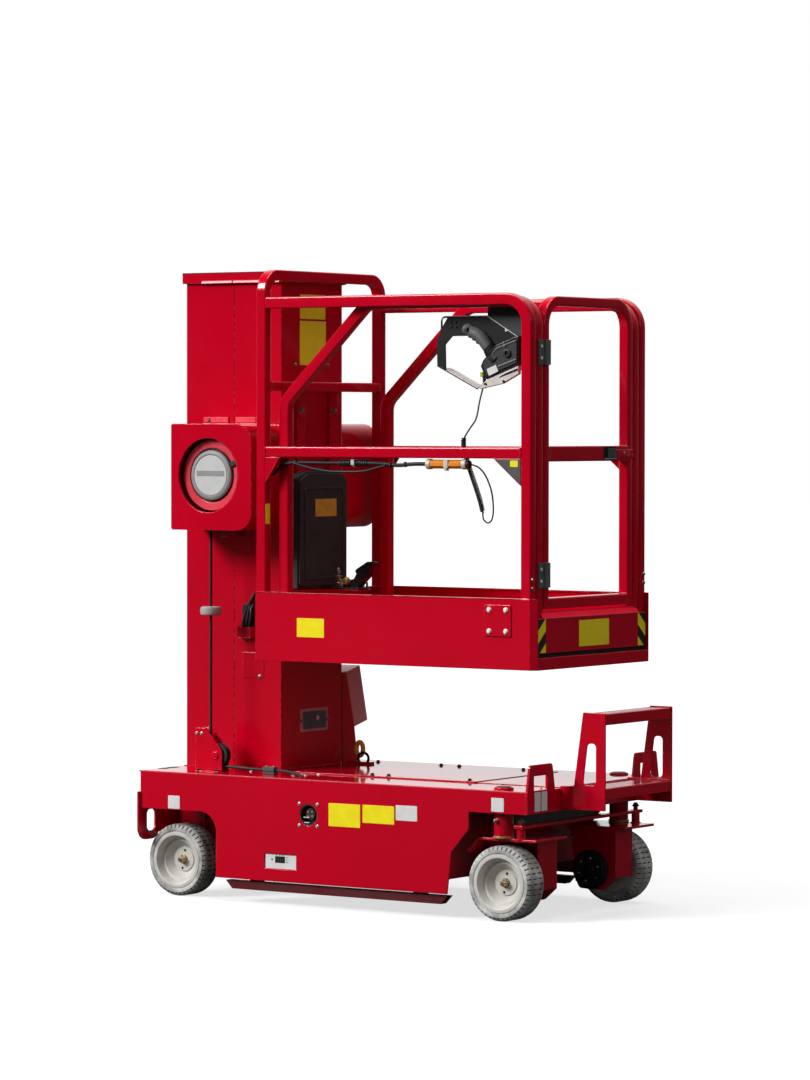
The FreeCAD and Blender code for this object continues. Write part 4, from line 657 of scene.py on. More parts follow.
def make_rim(label, x, face, side):
    """Deep dished rim with a ledge, a raised hub with two holes drawn as dark discs of painted shade, and the axle's
    castle nut.
    """
    rim = Piece(f"dished_rim_{label}")
    inward = (0, -side, 0)
    rim.add(lathe(RIM_PROFILE, (x, side * face, AXLE_HEIGHT), inward, 72), "rim paint")

    def outward_rod(deep, near, radius, sides, look, soft=0.0, angle=0, reach=0):
        """A bar along the axle between two depths behind the tyre's face."""
        spin = math.radians(angle)
        at_x, at_z = x + reach * math.cos(spin), AXLE_HEIGHT + reach * math.sin(spin)
        rim.add(rod((at_x, side * (face - deep), at_z), (at_x, side * (face - near), at_z), radius, sides), look, soft)
        return at_x, side * face, at_z

    for angle in (80, 260):
        # The holes are dark discs: painted shade.
        at = outward_rod(40.5, 39.9, 4.4, 20, "dark hollow", 0.0, angle, 29)
        rim.add(lathe(oblong((4.4, 5.2), (39.6, 40.4)), at, inward, 20), "rim paint")
    outward_rod(40.3, 37.8, 15.5, 32, "zinc", 0.6)
    outward_rod(38, 26, 12.8, 6, "brass", 1.2)
    outward_rod(26.2, 22.5, 9.8, 24, "zinc", 0.6)
    for k in range(6):
        outward_rod(26.2, 22.2, 2.8, 8, "brass", 0.4, 60 * k + 30, 8.5)
    outward_rod(30, 19, 6.2, 20, "zinc", 1.2)
    pin_y = side * (face - 23.6)
    rim.add(rod((x - 13, pin_y, AXLE_HEIGHT - 4), (x + 13, pin_y, AXLE_HEIGHT + 4), 1.4, 8), "zinc")
    rim.done(f"wheel_{label}", "rim_grey", f"rim_{label}")


def make_wheels():
    for wheel in WHEELS:
        make_tyre(*wheel)
        make_rim(*wheel)


# Basket

def make_side_frames():
    """Outer frames: bent top rail and front post, mid rail, gussets and the side panels below."""
    frames = Piece("outer_side_frames")
    level = -319.5
    frames.add(tube_run("xz", [(-274, 1886), (695, 1886, 77), (695, 800)], level, 33, 36), RED, mirror=True)
    frames.add(tube_run("xz", [(-274, 1419), (677, 1419)], level, 33, 34), RED, mirror=True)
    panel = sheet("xz", [oblong((-310, 713), (763, 979))], -339, -336)
    frames.add(panel, RED, 0.8, mirror=True)
    fold = sheet("xy", [[(713, -339), (733, -325), (733, -322), (713, -336)]], 763, 979)
    frames.add(fold, RED, 0.8, mirror=True)
    frames.block((-310, -339, 976), (677, -326.5, 979.2), RED, 0.8, mirror=True)
    for corner_x, tip in ((677, 579), (-274, -216)):
        drop = 1320
        frames.add(sheet("xz", [[(corner_x, 1402), (corner_x, drop), (tip, 1402)]], -336, -332), RED, 0.8,
                   mirror=True)
        inward = 4 if tip < corner_x else -4
        lip = [(corner_x, drop), (tip, 1402), (tip + inward, 1402), (corner_x, drop + 4)]
        frames.add(sheet("xz", [lip], -336, -324), RED, 0.6, mirror=True)
    for x in (-274, 677):
        frames.weld([(x, -336.5, 1404), (x, -336.5, 1434)], 2.5)
    frames.done("platform", "red_paint", "side_frames")


def make_rear_arch():
    """Bent rear arch with its crossbar, the rear board and the shelf for the slide lock."""
    arch = Piece("rear_arch_frame")
    middle = -292
    path = [(-319.5, 800), (-319.5, 1975.5, 58), (319.5, 1975.5, 58), (319.5, 800)]
    arch.add(tube_run("yz", path, middle, 36, 33), RED)
    arch.add(tube_run("yz", [(-303, 1625), (303, 1625)], middle, 36, 30), RED)
    arch.block((-310, -303, 800), (-307, 303, 979), RED, 0.8)
    arch.block((-310, -303, 976), (-274, 303, 979), RED, 0.8)
    shelf = oblong((-274, -123), (-35, 35), 8, "0110")
    arch.add(sheet("xy", [shelf], 976, 979), RED, 0.8)
    for side in (-1, 1):
        arch.weld([(-274, side * 303, 1612), (-274, side * 303, 1638)], 2.5)
    arch.done("platform", "red_paint", "rear_arch")


def make_extension():
    """Sliding inner frames with their slanted rear tubes."""
    frames = Piece("inner_slide_frames")
    path = [(-232, 808), (-232, 1576, 60), (80, 1880, 60), (695, 1880, 77), (695, 808)]
    frames.add(tube_run("xz", path, -281, 32, 36), RED, mirror=True)
    frames.block((-250, -297, 808), (713, -265, 812), RED, 0.8, mirror=True)
    frames.done("extension", "red_paint", "extension_frames")


def make_gate():
    """Gate frame with its mid rail and latch."""
    gate = Piece("swing_gate")
    middle = 696
    path = [(-244, 945), (-244, 1881, 75), (244, 1881, 75), (244, 945)]
    gate.add(tube_run("yz", path, middle, 34, 30), RED)
    gate.add(tube_run("yz", [(-229, 962), (229, 962)], middle, 34, 34), RED)
    gate.add(tube_run("yz", [(-229, 1416.5), (229, 1416.5)], middle, 34, 47, 4), RED)
    for y in (-229, 229):
        gate.weld([(712.8, y, 1396), (712.8, y, 1437)], 2.2)
        gate.weld([(712.8, y, 948), (712.8, y, 976)], 2.2)
    gate.add(sheet("yz", [oblong((84, 161), (1395.5, 1437.5), 6)], 712.8, 713.6), "dark hollow")
    gate.block((713.2, 106, 1401.5), (716.5, 157, 1432.5), "slate plastic", 1.5)
    gate.rod((715, 205, 1416.5), FRONT, 2.2, 5, 20, "zinc", 1.4)
    gate.block((713.2, 90, 1398.5), (715, 158, 1401), "light grey plastic", 0.5)
    gate.block((713, 161, 1404.5), (715.2, 258.5, 1427.5), RED, 0.8)
    gate.done("gate", "red_paint", "gate_frame")


def make_gate_hinges():
    """Two hinges: leaves on the gate and on the post, with their pins and bolts."""
    leaves = {"gate": Piece("gate_hinge_leaves"), "extension": Piece("post_hinge_leaves")}
    pin_x, pin_y = 720, -262
    for middle_z in (1049, 1724):
        for body, low, high, y_low, y_high in (("gate", middle_z + 0.3, middle_z + 38, -255, -230),
                                               ("extension", middle_z - 38, middle_z - 0.3, -296, -269)):
            piece = leaves[body]
            piece.add(rod((pin_x, pin_y, low), (pin_x, pin_y, high), 6, 24), "hinge steel", 0.5)
            piece.block((713.2, y_low, middle_z - 38), (718.5, y_high, middle_z + 38), "hinge steel", 1.2)
            near, far = sorted((pin_y, y_high if body == "extension" else y_low))
            piece.block((714.5, near, low + 2), (718.5, far, high - 2), "hinge steel", 0.4)
        for z in (middle_z - 18, middle_z + 18):
            leaves["extension"].rod((718.3, -283.5, z), FRONT, 2.5, 5.2, 20, "bolt caps", 1.4)
            leaves["gate"].rod((718.3, -242.5, z), FRONT, 1.3, 4, 20, "hinge steel", 0.8)
    leaves["gate"].done("gate", "black_steel", "gate_hinges")
    leaves["extension"].done("extension", "black_steel", "hinge_leaves")


# Cable reel

REEL_X, REEL_Z = -503, 1343


def make_reel():
    """Spring cable reel: red drum flanges with a ring of painted highlight, a dark disc of painted shade behind the
    cover, grey cover with its blank disc, and the cable's clip.
    """
    reel = Piece("spring_cable_reel")
    start = (REEL_X, -168, REEL_Z)
    drum = [(0, 0), (134, 0), (134, 3), (128, 6), (60, 8), (60, 128), (107, 131), (112, 134), (113.5, 136.5),
            (112, 139), (88, 138.5), (86, 136.5), (0, 136.5)]
    reel.add(lathe(drum, start, RIGHT, 96), RED)
    # A dark disc just behind the cover's edge: painted shade.
    reel.add(lathe(oblong((0, 84.5), (136, 137.5)), start, RIGHT, 72), "dark hollow")
    cover = [(0, 137), (79.5, 137), (80, 140), (78.5, 144.5), (74, 147.8), (69, 148.2), (66, 148.2), (65, 147),
             (0, 147)]
    reel.add(lathe(cover, start, RIGHT, 96), "grey plastic")
    label = [(0, 146.5), (63.2, 146.5), (63.2, 147.8), (62.6, 148.2), (0, 148.2)]
    reel.add(lathe(label, start, RIGHT, 96), "reel label")
    # A paler red ring on the flange: painted highlight.
    reel.add(lathe([(86, 138.7), (109.5, 139.2), (110.5, 138.7)], start, RIGHT, 96), "lit red")
    reel.block((REEL_X - 54, -316.7, REEL_Z - 2), (REEL_X + 54, -316, REEL_Z + 15.5), "grey plastic")
    collar = oblong((117.8, 119.2), (144, 159))
    reel.add(lathe(collar, (REEL_X - 4.5, -168, REEL_Z), RIGHT, 96), RED)
    for turn in range(9):
        reel.add(hoop((REEL_X, -188 - turn * 11.5, REEL_Z), 65.5, 65.5, 4.8, 48, 10), "black rubber")
    clip = block((-11, -6, -8.5), (14, 4, 8.5))
    lean = 0.42
    place = Matrix.Translation(metres((REEL_X + 93 * math.cos(lean), -308, REEL_Z + 93 * math.sin(lean))))
    bmesh.ops.transform(clip, matrix=place @ Matrix.Rotation(-lean, 4, "Y"), verts=clip.verts[:])
    reel.add(clip, "black plastic", 2)
    reel.done("platform", "grey_plastic", "cable_reel")


# Chassis

# The charging socket's middle on the side panel, along and up.
SOCKET = (-72, 290)


def make_chassis_plates():
    """Blank plates, the socket and the display."""
    plates = Piece("chassis_plates")
    for look, across, up in (("yellow", (5, 124), (260, 332)), ("yellow", (133, 251), (277, 333)),
                             ("white", (257, 336), (291, 338)), ("white", (-619, -573), (283, 325)),
                             ("white", (606, 651), (336, 378))):
        plates.plate(f"{look} plate", "xz", across, up, -385)
    for across in ((-346, -313), (-308, -275)):
        plates.plate("white plate", "yz", across, (338, 397), 736)
    plates.done("chassis", "red_paint")

    socket = Piece("charging_socket")
    x, z = SOCKET
    cup = [(33.8, 1), (30, 1), (29.2, 3), (28.5, 30), (0, 30), (0, 33), (33.8, 33)]
    socket.add(lathe(cup, (x, -385, z), LEFT, 48), "black plastic")
    core = [(0, 6), (17, 6), (18.2, 7.5), (18.2, 30.5), (0, 30.5)]
    socket.add(lathe(core, (x + 4, -385, z + 2), LEFT, 40), "black plastic")
    for dx, dz in ((-6, 10), (10, 10), (-6, -4), (10, -4)):
        socket.rod((x + dx, -379.2, z + dz), LEFT, 4.2, 3, 16, "brass", 0.4)
    for rise in (-8, -24):
        socket.block((x - 20, -383, z + rise - 1.5), (x + 2, -376, z + rise + 1.5), "light grey plastic", 0.5)
    socket.done("chassis", "black_plastic")

    display = Piece("battery_display")
    display.block((-240.5, -381.5, 115.5), (-119.5, -378, 161.5), "white plate", 0.8)
    display.block((-202, -382.2, 134), (-164, -381.2, 155), "dark hollow", 0.4)
    for i in range(3):
        level = 137 + 7.5 * i
        display.rod((-156.5, -382.4, level), LEFT, 1.4, 1.7, 12, "dark hollow")
        shift = -196 + 12 * i
        display.rod((shift, -382.4, 158.5), LEFT, 1.4, 1.5, 12, "dark hollow")
    display.rod((-214, -382.6, 144), LEFT, 1.6, 2.8, 16, "dark hollow", 0.4)
    display.done("chassis", "grey_plastic")


def make_deck_covers():
    """Cover sheets on the deck, its slots as dark sheets of painted shade, and a painted highlight strip along its
    near edge.
    """
    covers = Piece("deck_covers")
    for cover, top, soft in ((oblong((-290, 418), (-185, 300), 6, "0110"), 404.2, 0.8),
                             (oblong((423, 727), (-185, 285), 6), 402.2, 0.8),
                             (oblong((-729, -712), (-160, 160), 6), 402.2, 0.5)):
        covers.add(sheet("xy", [cover], 400, top), "deck paint", soft)
    # The slots are dark sheets: painted shade.
    for y in (-300, -252):
        slot = oblong((-726, -700), (y, y + 36), 4)
        covers.add(sheet("xy", [slot], 400, 400.6), "dark hollow", mirror=True)
    # A paler strip along the deck's near top edge: painted highlight.
    covers.block((-735.5, -385.5, 396), (735.5, -384.2, 400.3), "lit red", 0.5)
    covers.done("chassis", "red_paint")


def make_chassis_sheets():
    """Cross member between the front forks and the wall behind the rear arches."""
    beam = Piece("front_cross_member")
    beam.block((590, -230, 268), (596, 230, 390), "hinge steel", 1.5)
    beam.block((570, -230, 268), (590, 230, 272), "hinge steel", 1)
    for y in (-230, 226):
        beam.add(sheet("xz", [[(520, 390), (590, 272), (590, 390)]], y, y + 4), "hinge steel")
    beam.done("chassis", "black_steel")

    wall = Piece("rear_inner_wall")
    wall.add(sheet("yz", [oblong((-303, 303), (196, 320), 12, "1100")], -733, -729), RED)
    wall.done("chassis", "red_paint")


def make_kingpins():
    """Kingpin caps on the deck, their side bolts, and the bushes under the forks."""
    caps = Piece("kingpin_caps")
    for y in (-335, 335):
        at = (619, y, 406)
        caps.add(lathe([(0, 0), (28.5, 0), (29, 0.6), (28.5, 1.4), (25.5, 1.8), (0, 1.8)], at, UP, 48), RED)
        caps.add(lathe([(0, 1.6), (22.5, 1.6), (23.2, 2.4), (22.2, 3.2), (0, 3.2)], at, UP, 48), "dark steel")
    caps.rod((611.8, -364, 306.2), RIGHT, 10, 7.5, 6, "zinc", 0.8)
    caps.rod((611.8, -373.5, 306.2), RIGHT, 4, 4.5, 20, "zinc", 0.8)
    caps.rod((611.8, 364, 306.2), LEFT, 10, 7.5, 6, "zinc", 0.8)
    caps.done("chassis", "dark_steel")
    for side, label in ((-1, "right"), (1, "left")):
        bush = Piece(f"kingpin_bush_{label}")
        ring = [(30.2, 0), (33, 0.8), (33, 6.2), (30.2, 7)]
        bush.add(lathe(ring, (619, side * 335, 252.5), UP, 48), "brass")
        bolt = "zinc" if side < 0 else "black steel"
        bush.rod((681, side * 335, 303.5), UP, 3.3, 11.5, 24, bolt, 0.6)
        bush.rod((681, side * 335, 306.6), UP, 5.9, 9.2, 6, bolt, 1.2)
        bush.rod((681, side * 335, 312), UP, 4, 5.8, 20, bolt, 1.4)
        bush.weld([(681 + 14.5 * math.cos(a), side * 335 + 14.5 * math.sin(a), 252.8)
                   for a in (math.pi * k / 8 for k in range(17))], 2.5)
        bush.done(f"fork_{label}", "dark_steel")


def make_wheel_motor(label, side):
    """Black drive motor on the fork's inner face: stepped disc with fins, and its bolts."""
    motor = Piece(f"stepped_motor_{label}")
    start = (619, side * 172, AXLE_HEIGHT)
    disc = [(0, 0), (62, 0), (62, 12), (60.5, 13.5), (56, 14), (55, 16), (54.5, 20.5), (53, 22), (28, 22.2),
            (26.5, 21), (20, 20.8), (19, 22.5), (18, 23.8), (0, 24)]
    motor.add(lathe(disc, start, (0, -side, 0), 72), "black steel")
    for k in range(12):
        spin = math.radians(30 * k + 8)
        fin = block((57, -1.8, 0), (61.2, 1.8, 16.5))
        bmesh.ops.rotate(fin, verts=fin.verts[:], matrix=Matrix.Rotation(spin, 3, "Z"))
        bmesh.ops.transform(fin, verts=fin.verts[:],
                            matrix=Matrix.Translation(metres(start)) @ Matrix.Rotation(side * math.pi / 2, 4, "X"))
        motor.add(fin, "black steel")
    motor.done(f"fork_{label}", "black_steel", f"wheel_motor_{label}")
    spots = [(619 + 36 * c, side * 150, AXLE_HEIGHT + 36 * s) for c, s in round_places(6, 0.3)]
    fasteners(f"motor_bolts_{label}", f"fork_{label}", "zinc", {(0, -side, 0): spots}, 4, 3, 5.2, 12)


def make_wheel_motors():
    make_wheel_motor("right", -1)
    make_wheel_motor("left", 1)


# Entry step

def tread_tree():
    """Rows of raised rings, each with a dark disc of painted shade for its hole, for a tread that grips."""
    tree, nodes, given = new_tree("Tread holes", ("Length", "Float"), ("Depth", "Float"), ("Ring Radius", "Float"),
                                  ("Ring Rise", "Float"), ("Holes Along", "Int"), ("Rows", "Int"),
                                  ("Paint", "Material"), ("Hole", "Material"))
    radius, rise = given["Ring Radius"], given["Ring Rise"]
    grid = nodes.out("Mesh", "GeometryNodeMeshGrid", Size_X=given["Depth"], Size_Y=given["Length"],
                     Vertices_X=given["Rows"], Vertices_Y=given["Holes Along"])
    ring = nodes.out("Mesh", "GeometryNodeMeshCone", Vertices=14, Radius_Bottom=radius, Depth=rise,
                     Radius_Top=nodes.math("MULTIPLY", radius, 0.72))
    dark = nodes.out("Mesh", "GeometryNodeMeshCylinder", Vertices=12, Depth=0.0004,
                     Radius=nodes.math("MULTIPLY", radius, 0.5))
    painted = [nodes.out("Geometry", "GeometryNodeSetMaterial", Geometry=shape, Material=given[tone])
               for shape, tone in ((ring, "Paint"), (raised(nodes, dark, rise), "Hole"))]
    middle = nodes.out("Value", "GeometryNodeSampleIndex", data_type="FLOAT_VECTOR", Geometry=given["Geometry"],
                       Value=named_vector(nodes, "middle"))
    placed = nodes.out("Geometry", "GeometryNodeSetPosition", Geometry=on_points(nodes, grid, painted), Offset=middle)
    nodes.add("NodeGroupOutput", Geometry=placed)
    return tree


def make_step():
    """Step of folded sheet: two slotted sides, two treads with raised rings."""
    step = Piece("folded_entry_step")
    outline = [(736, 337), (895, 337, 3), (895, 634, 3), (816, 634, 3), (784, 408), (736, 408)]
    slot = [(815, 413, 12), (862, 413, 12), (862, 540, 12), (831, 540, 12)]
    step.add(sheet("xz", [outline, slot], -200, -194), RED, 1, mirror=True)
    for depth, top in ((74, 631), (105, 405)):
        back, front = 895 - depth, 892
        fold = [(back, top - 34), (back, top, 4), (front, top, 4), (front, top - 34), (front - 3, top - 34),
                (front - 3, top - 3, 2), (back + 3, top - 3, 2), (back + 3, top - 34)]
        step.add(sheet("xz", [fold], -194, 194), "deck paint")
        for y in (-194, 194):
            step.weld([(back + 4, y, top + 0.2), (front - 4, y, top + 0.2)], 2.2)
    step.done("chassis", "red_paint", "entry_step")
    tree = tread_tree()
    # The rings' dark discs are painted shade in their holes.
    for label, depth, top, rows in (("upper", 74, 631, 4), ("lower", 105, 405, 6)):
        middle = (metres(893.5 - depth / 2) - MID_AXLES, 0, metres(top))
        run_tree(tree, f"{label}_tread_rings", "chassis", "red_paint", [(0, 0, 0)], "middle", [middle],
                 Length=0.366, Depth=metres(depth - 22), Ring_Radius=0.0045, Ring_Rise=0.00035, Holes_Along=24,
                 Rows=rows, Paint=bpy.data.materials["deck paint"], Hole=bpy.data.materials["dark hollow"])


# Mast

MAST_FRONT = -333


def make_mast_details():
    """Painted highlight ledge and painted shade strip under the cap, side cover, cable pocket with painted shade at
    its back, painted highlight plates on the reel housing's tabs, blank plates and the inspection plate.
    """
    mast = Piece("mast_dressing")
    # A paler ledge under the cap: painted highlight.
    for low, high in ((-640, -520), (-516, -333)):
        mast.add(sheet("yz", [[(-178, 1966), (-181.5, 1957), (-178, 1956)]], low, high), "lit red", mirror=True)
    # A darker red strip under the cap's edge: painted shade.
    mast.block((-718.4, -178.4, 1988.5), (-322.6, 178.4, 1991.8), "dark red edge", 0.5)
    mast.add(sheet("xz", [oblong((-486, -400), (694.5, 776), 4)], -169.5, -168), RED, 0.4)
    pocket = oblong((-489, -436), (824, 857.5))
    mast.add(sheet("xz", [pocket], -192.5, -190.5), RED, 0.5)
    mast.block((-489, -192, 824), (-486.5, -168, 857.5), RED, 0.5)
    mast.block((-438.5, -192, 824), (-436, -168, 857.5), RED, 0.5)
    mast.block((-489, -192, 821.5), (-436, -168, 824), RED, 0.5)
    # Dark back of the cable pocket: painted shade.
    mast.add(sheet("xz", [oblong((-484.5, -437.5), (840, 929), 6, "0011")], -168.4, -167.9), "dark hollow")
    for i, (top_x, top_z) in enumerate(((-436, 970), (-443, 950), (-440, 935))):
        foot_x = -476 + 12.5 * i
        points = metres(((foot_x, -180, 830), (foot_x + 2, -181, 865), (foot_x + 10, -180, 905),
                         (top_x - 6, -177, top_z - 22), (top_x, -170, top_z - 4), (top_x + 3, -164, top_z)))
        mast.add(sweep(circle(0.0052, 10), line_points(points)), "black rubber")
    # Paler plates on the reel housing's top tabs: painted highlight.
    for x in ((-635.6, -540.1), (-509.4, -431.8)):
        mast.plate("lit red", "xz", x, (1511.5, 1528), -172, 0.8, 1)
    mast.plate("yellow plate", "yz", (-66, 74), (1842.6, 1920.5), MAST_FRONT)
    mast.plate("yellow plate", "yz", (-67, 77), (1694.8, 1836.5), MAST_FRONT)
    mast.plate("pale frame", "yz", (-65, 89), (518.5, 592.5), MAST_FRONT, 1.2, 7)
    mast.plate("mauve plate", "yz", (-49, 77), (527, 583), MAST_FRONT, 2, 3)
    mast.block((MAST_FRONT, -168.5, 403.5), (MAST_FRONT + 1.2, 168.5, 406.5), RED, 0.4)
    mast.block((-507, -290, 1148.5), (-470, -168, 1151.5), RED, 0.6)
    mast.block((-507, -171, 1148.5), (-470, -168, 1169), RED, 0.6)
    mast.add(lathe([(8, -4), (12.5, -4), (13, 0), (12.5, 4), (8, 4)], (-487, -260, 1150), UP, 24), "grey plastic")
    mast.done("platform", "red_paint")


def make_cable_guides():
    """Rounded cable stopper and the deck's clamp."""
    guides = Piece("cable_stopper_and_clamp")
    stopper = [(4.9, -13.8), (28, -13.8), (32, -11.8), (33.8, -7), (33.8, 7), (32, 11.8), (28, 13.8), (12, 14.5),
               (4.9, 14.7)]
    guides.add(lathe(stopper, (-528, -280, 911), UP, 56), "stopper plastic")
    guides.block((-309, -302, 400), (-265, -278, 425), "slate plastic", 2.2)
    guides.block((-310.5, -303.5, 411.5), (-263.5, -276.5, 413.5), "dark hollow")
    for x in (-302, -272):
        guides.rod((x, -290, 424.5), UP, 3, 3.8, 16, "zinc", 0.8)
    guides.done("chassis", "grey_plastic", "cable_clamps")

    boss = Piece("pulley_axle_boss")
    boss.add(lathe([(0, 0), (13.5, 0), (13.5, 3), (11, 5.5), (0, 6.2)], (-495, -300, 452), RIGHT, 32), RED)
    boss.block((-568, -312, 400), (-476, -299, 403), RED, 0.8)
    for x in (-556, -488):
        boss.rod((x, -306.5, 402.5), UP, 5, 7, 6, "dark steel", 0.8)
    boss.done("chassis", "red_paint")


# Basket fittings

# The front board's outer face.
BOARD = 726.5


def hazard_plate(piece, side):
    """Yellow and black slanted stripes on one end of the front board."""
    low, high = 815, 917
    y_low, y_high = (270, 314) if side > 0 else (-314, -270)
    piece.add(sheet("yz", [oblong((y_low, y_high), (low, high))], BOARD - 0.2, BOARD + 0.5), "yellow plate")
    for start in (low - 8, low + 68):
        rise = [(y_low, start), (y_high, start + 38), (y_high, start + 74), (y_low, start + 36)]
        if side > 0:
            rise = [(y_high - (y - y_low), z) for y, z in rise][::-1]
        clipped = clip_rise(rise, low, high)
        if len(clipped) > 2:
            piece.add(sheet("yz", [clipped], BOARD, BOARD + 0.8), "stripe black")


def clip_rise(points, low, high):
    """Cut a convex outline to the band between two heights."""
    for bound, sign in ((low, 1), (high, -1)):
        kept = []
        for (ya, za), (yb, zb) in zip(points, points[1:] + points[:1]):
            inside_a, inside_b = sign * (za - bound) >= 0, sign * (zb - bound) >= 0
            if inside_a:
                kept.append((ya, za))
            if inside_a != inside_b:
                share = (bound - za) / (zb - za)
                kept.append((ya + share * (yb - ya), bound))
        points = kept
    return points


def make_sliding_deck():
    """Sliding floor on its shoes with the sloped front board, its lip brighter as painted light and edged with a
    painted highlight, its blank plate and hazard stripes.
    """
    deck = Piece("sliding_floor_and_board")
    deck.block((-250, -265, 808), (BOARD - 3, 265, 812), "deck paint", 0.8)
    board = oblong((BOARD - 3, BOARD), (813.5, 919))
    deck.add(sheet("xz", [board], -316, 316), RED)
    lip = [(BOARD - 3, 918), (BOARD, 919), (BOARD - 19, 938.5), (BOARD - 20.5, 937)]
    # The lip is a brighter red than the paint: painted light.
    deck.add(sheet("xz", [lip], -280, 280), "flat red")
    # A paler line along the lip's front edge: painted highlight.
    deck.block((BOARD - 1, -280, 917.2), (BOARD + 0.8, 280, 919.8), "lit red", 0.4)
    deck.block((BOARD - 4, -314, 801), (BOARD - 1.5, 314, 814), "dark hollow")
    for x in (-190, 623):
        for y in (-220, 220):
            deck.block((x - 30, y - 30, 800.3), (x + 30, y + 30, 808), "black plastic", 1)
    for side in (-1, 1):
        hazard_plate(deck, side)
    deck.plate("yellow plate", "yz", (-79, 96), (826, 906), BOARD)
    deck.done("extension", "red_paint", "extension_floor")


def make_basket_fittings():
    """Blank plates, bolted corner plates and the brace's gusset on the basket."""
    fittings = Piece("basket_fittings")
    fittings.plate("yellow plate", "xz", (-149, -45.5), (840.5, 900), -339)
    corner = oblong((551, 647), (863.5, 959.5), 4)
    fittings.add(sheet("xz", [corner], -342.5, -339), RED, 0.6, mirror=True)
    for x in (569, 629):
        for z in (879, 944):
            fittings.rod((x, -346, z), RIGHT, 0.9, 1.9, 10, "dark steel")
    fittings.add(sheet("xz", [[(677, 1398.5), (677, 1325), (588, 1398.5)]], -336.8, -336), "slate plastic")
    fittings.plate("yellow plate", "xz", (640, 668), (1377, 1396), -336.8)
    fittings.plate("yellow plate", "yz", (-333, -311), (1192, 1256), -274)
    fittings.done("platform", "red_paint")


def make_document_box():
    """Document box of charcoal plastic with a raised lid, a hump for its catch and a blank plate."""
    box = Piece("document_box_with_lid")
    body = [(-165, 981, 6), (105, 981, 6), (105, 1335, 12), (94, 1342, 6), (48, 1355.5, 6), (-108, 1355.5, 6),
            (-154, 1342, 6), (-165, 1335, 12)]
    box.add(sheet("yz", [body], -309.7, -272), "charcoal plastic", 3)
    lid = [(-160, 990, 12), (100, 990, 12), (100, 1330, 20), (50, 1350, 20), (-110, 1350, 20), (-160, 1330, 20)]
    box.add(sheet("yz", [lid], -271.5, -264.5), "charcoal plastic", 4, 3)
    rim = [(-136, 1012, 10), (78, 1012, 10), (78, 1304, 14), (-136, 1304, 14)]
    inner = [(-131, 1017, 6), (73, 1017, 6), (73, 1299, 10), (-131, 1299, 10)]
    box.add(sheet("yz", [rim, inner], -264.8, -262.8), "charcoal plastic", 0.7)
    box.rod((-300, -30, 1353.5), FRONT, 30, 14, 24, "charcoal plastic", 3)
    box.plate("ochre plate", "yz", (-77, 40), (1211, 1267), -264.5)
    box.block((-309, -166.2, 1000), (-285, -164.2, 1320), "pale charcoal", 0.8)
    for z in (1020, 1300):
        box.rod((-297, -164, z), RIGHT, 3.5, 5, 16, "zinc", 1)
    box.done("platform", "black_plastic", "manual_box")


def make_slide_lock():
    """Pedal with its rubber-coated blade, pivot nuts and the sprung bolt with brass collars."""
    lock = Piece("slide_lock_pedal")
    base = [(-243, -30, 10), (-118, -30, 20), (-118, 30, 20), (-243, 30, 10)]
    lock.add(sheet("xy", [base], 979, 985), "black steel", 1.5)
    blade = [(-207, 985), (-139, 985), (-130, 998, 10), (-104, 1022, 20), (-96, 1050, 12), (-81.5, 1062.5, 4),
             (-82.5, 1069, 3), (-108, 1069, 14), (-151, 1044, 12), (-156, 1037, 2), (-150, 1030, 4), (-160, 1013, 10),
             (-190, 1004, 10)]
    lock.add(sheet("xz", [blade], -13, 13), "glossy black", 3.5, 3)
    lock.rod((-185, -30, 1005.5), LEFT, 60, 4.5, 16, "zinc", 0.8)
    lock.rod((-185, -28.5, 1005.5), LEFT, 9.5, 11, 6, "brass", 1.2)
    lock.rod((-185, -19.5, 1005.5), LEFT, 6.5, 13.5, 28, "brass", 1)
    column = [(0, 0), (13.5, 0), (14, 2), (14, 10), (12.8, 14), (10.5, 15.5), (10.5, 23.5), (9, 25), (0, 25)]
    lock.add(lathe(column, (-229, 0, 985), UP, 32), "zinc")
    lock.rod((-229, 0, 1006), UP, 13, 9.8, 6, "brass", 1.5)
    lock.rod((-229, 0, 1018.5), UP, 3, 13.5, 28, "zinc", 0.6)
    knob = [(0, 0), (4, 0), (4.2, 6), (7.5, 8.5), (8.2, 12), (6.8, 16), (4, 17.5), (4.5, 20), (4.8, 23), (3, 25.5),
            (0, 26)]
    lock.add(lathe(knob, (-229, 0, 1021), UP, 28), "zinc")
    lock.rod((-128, 16, 984), UP, 18, 3.5, 14, "dark steel", 0.5)
    lock.done("platform", "black_steel", "slide_lock")


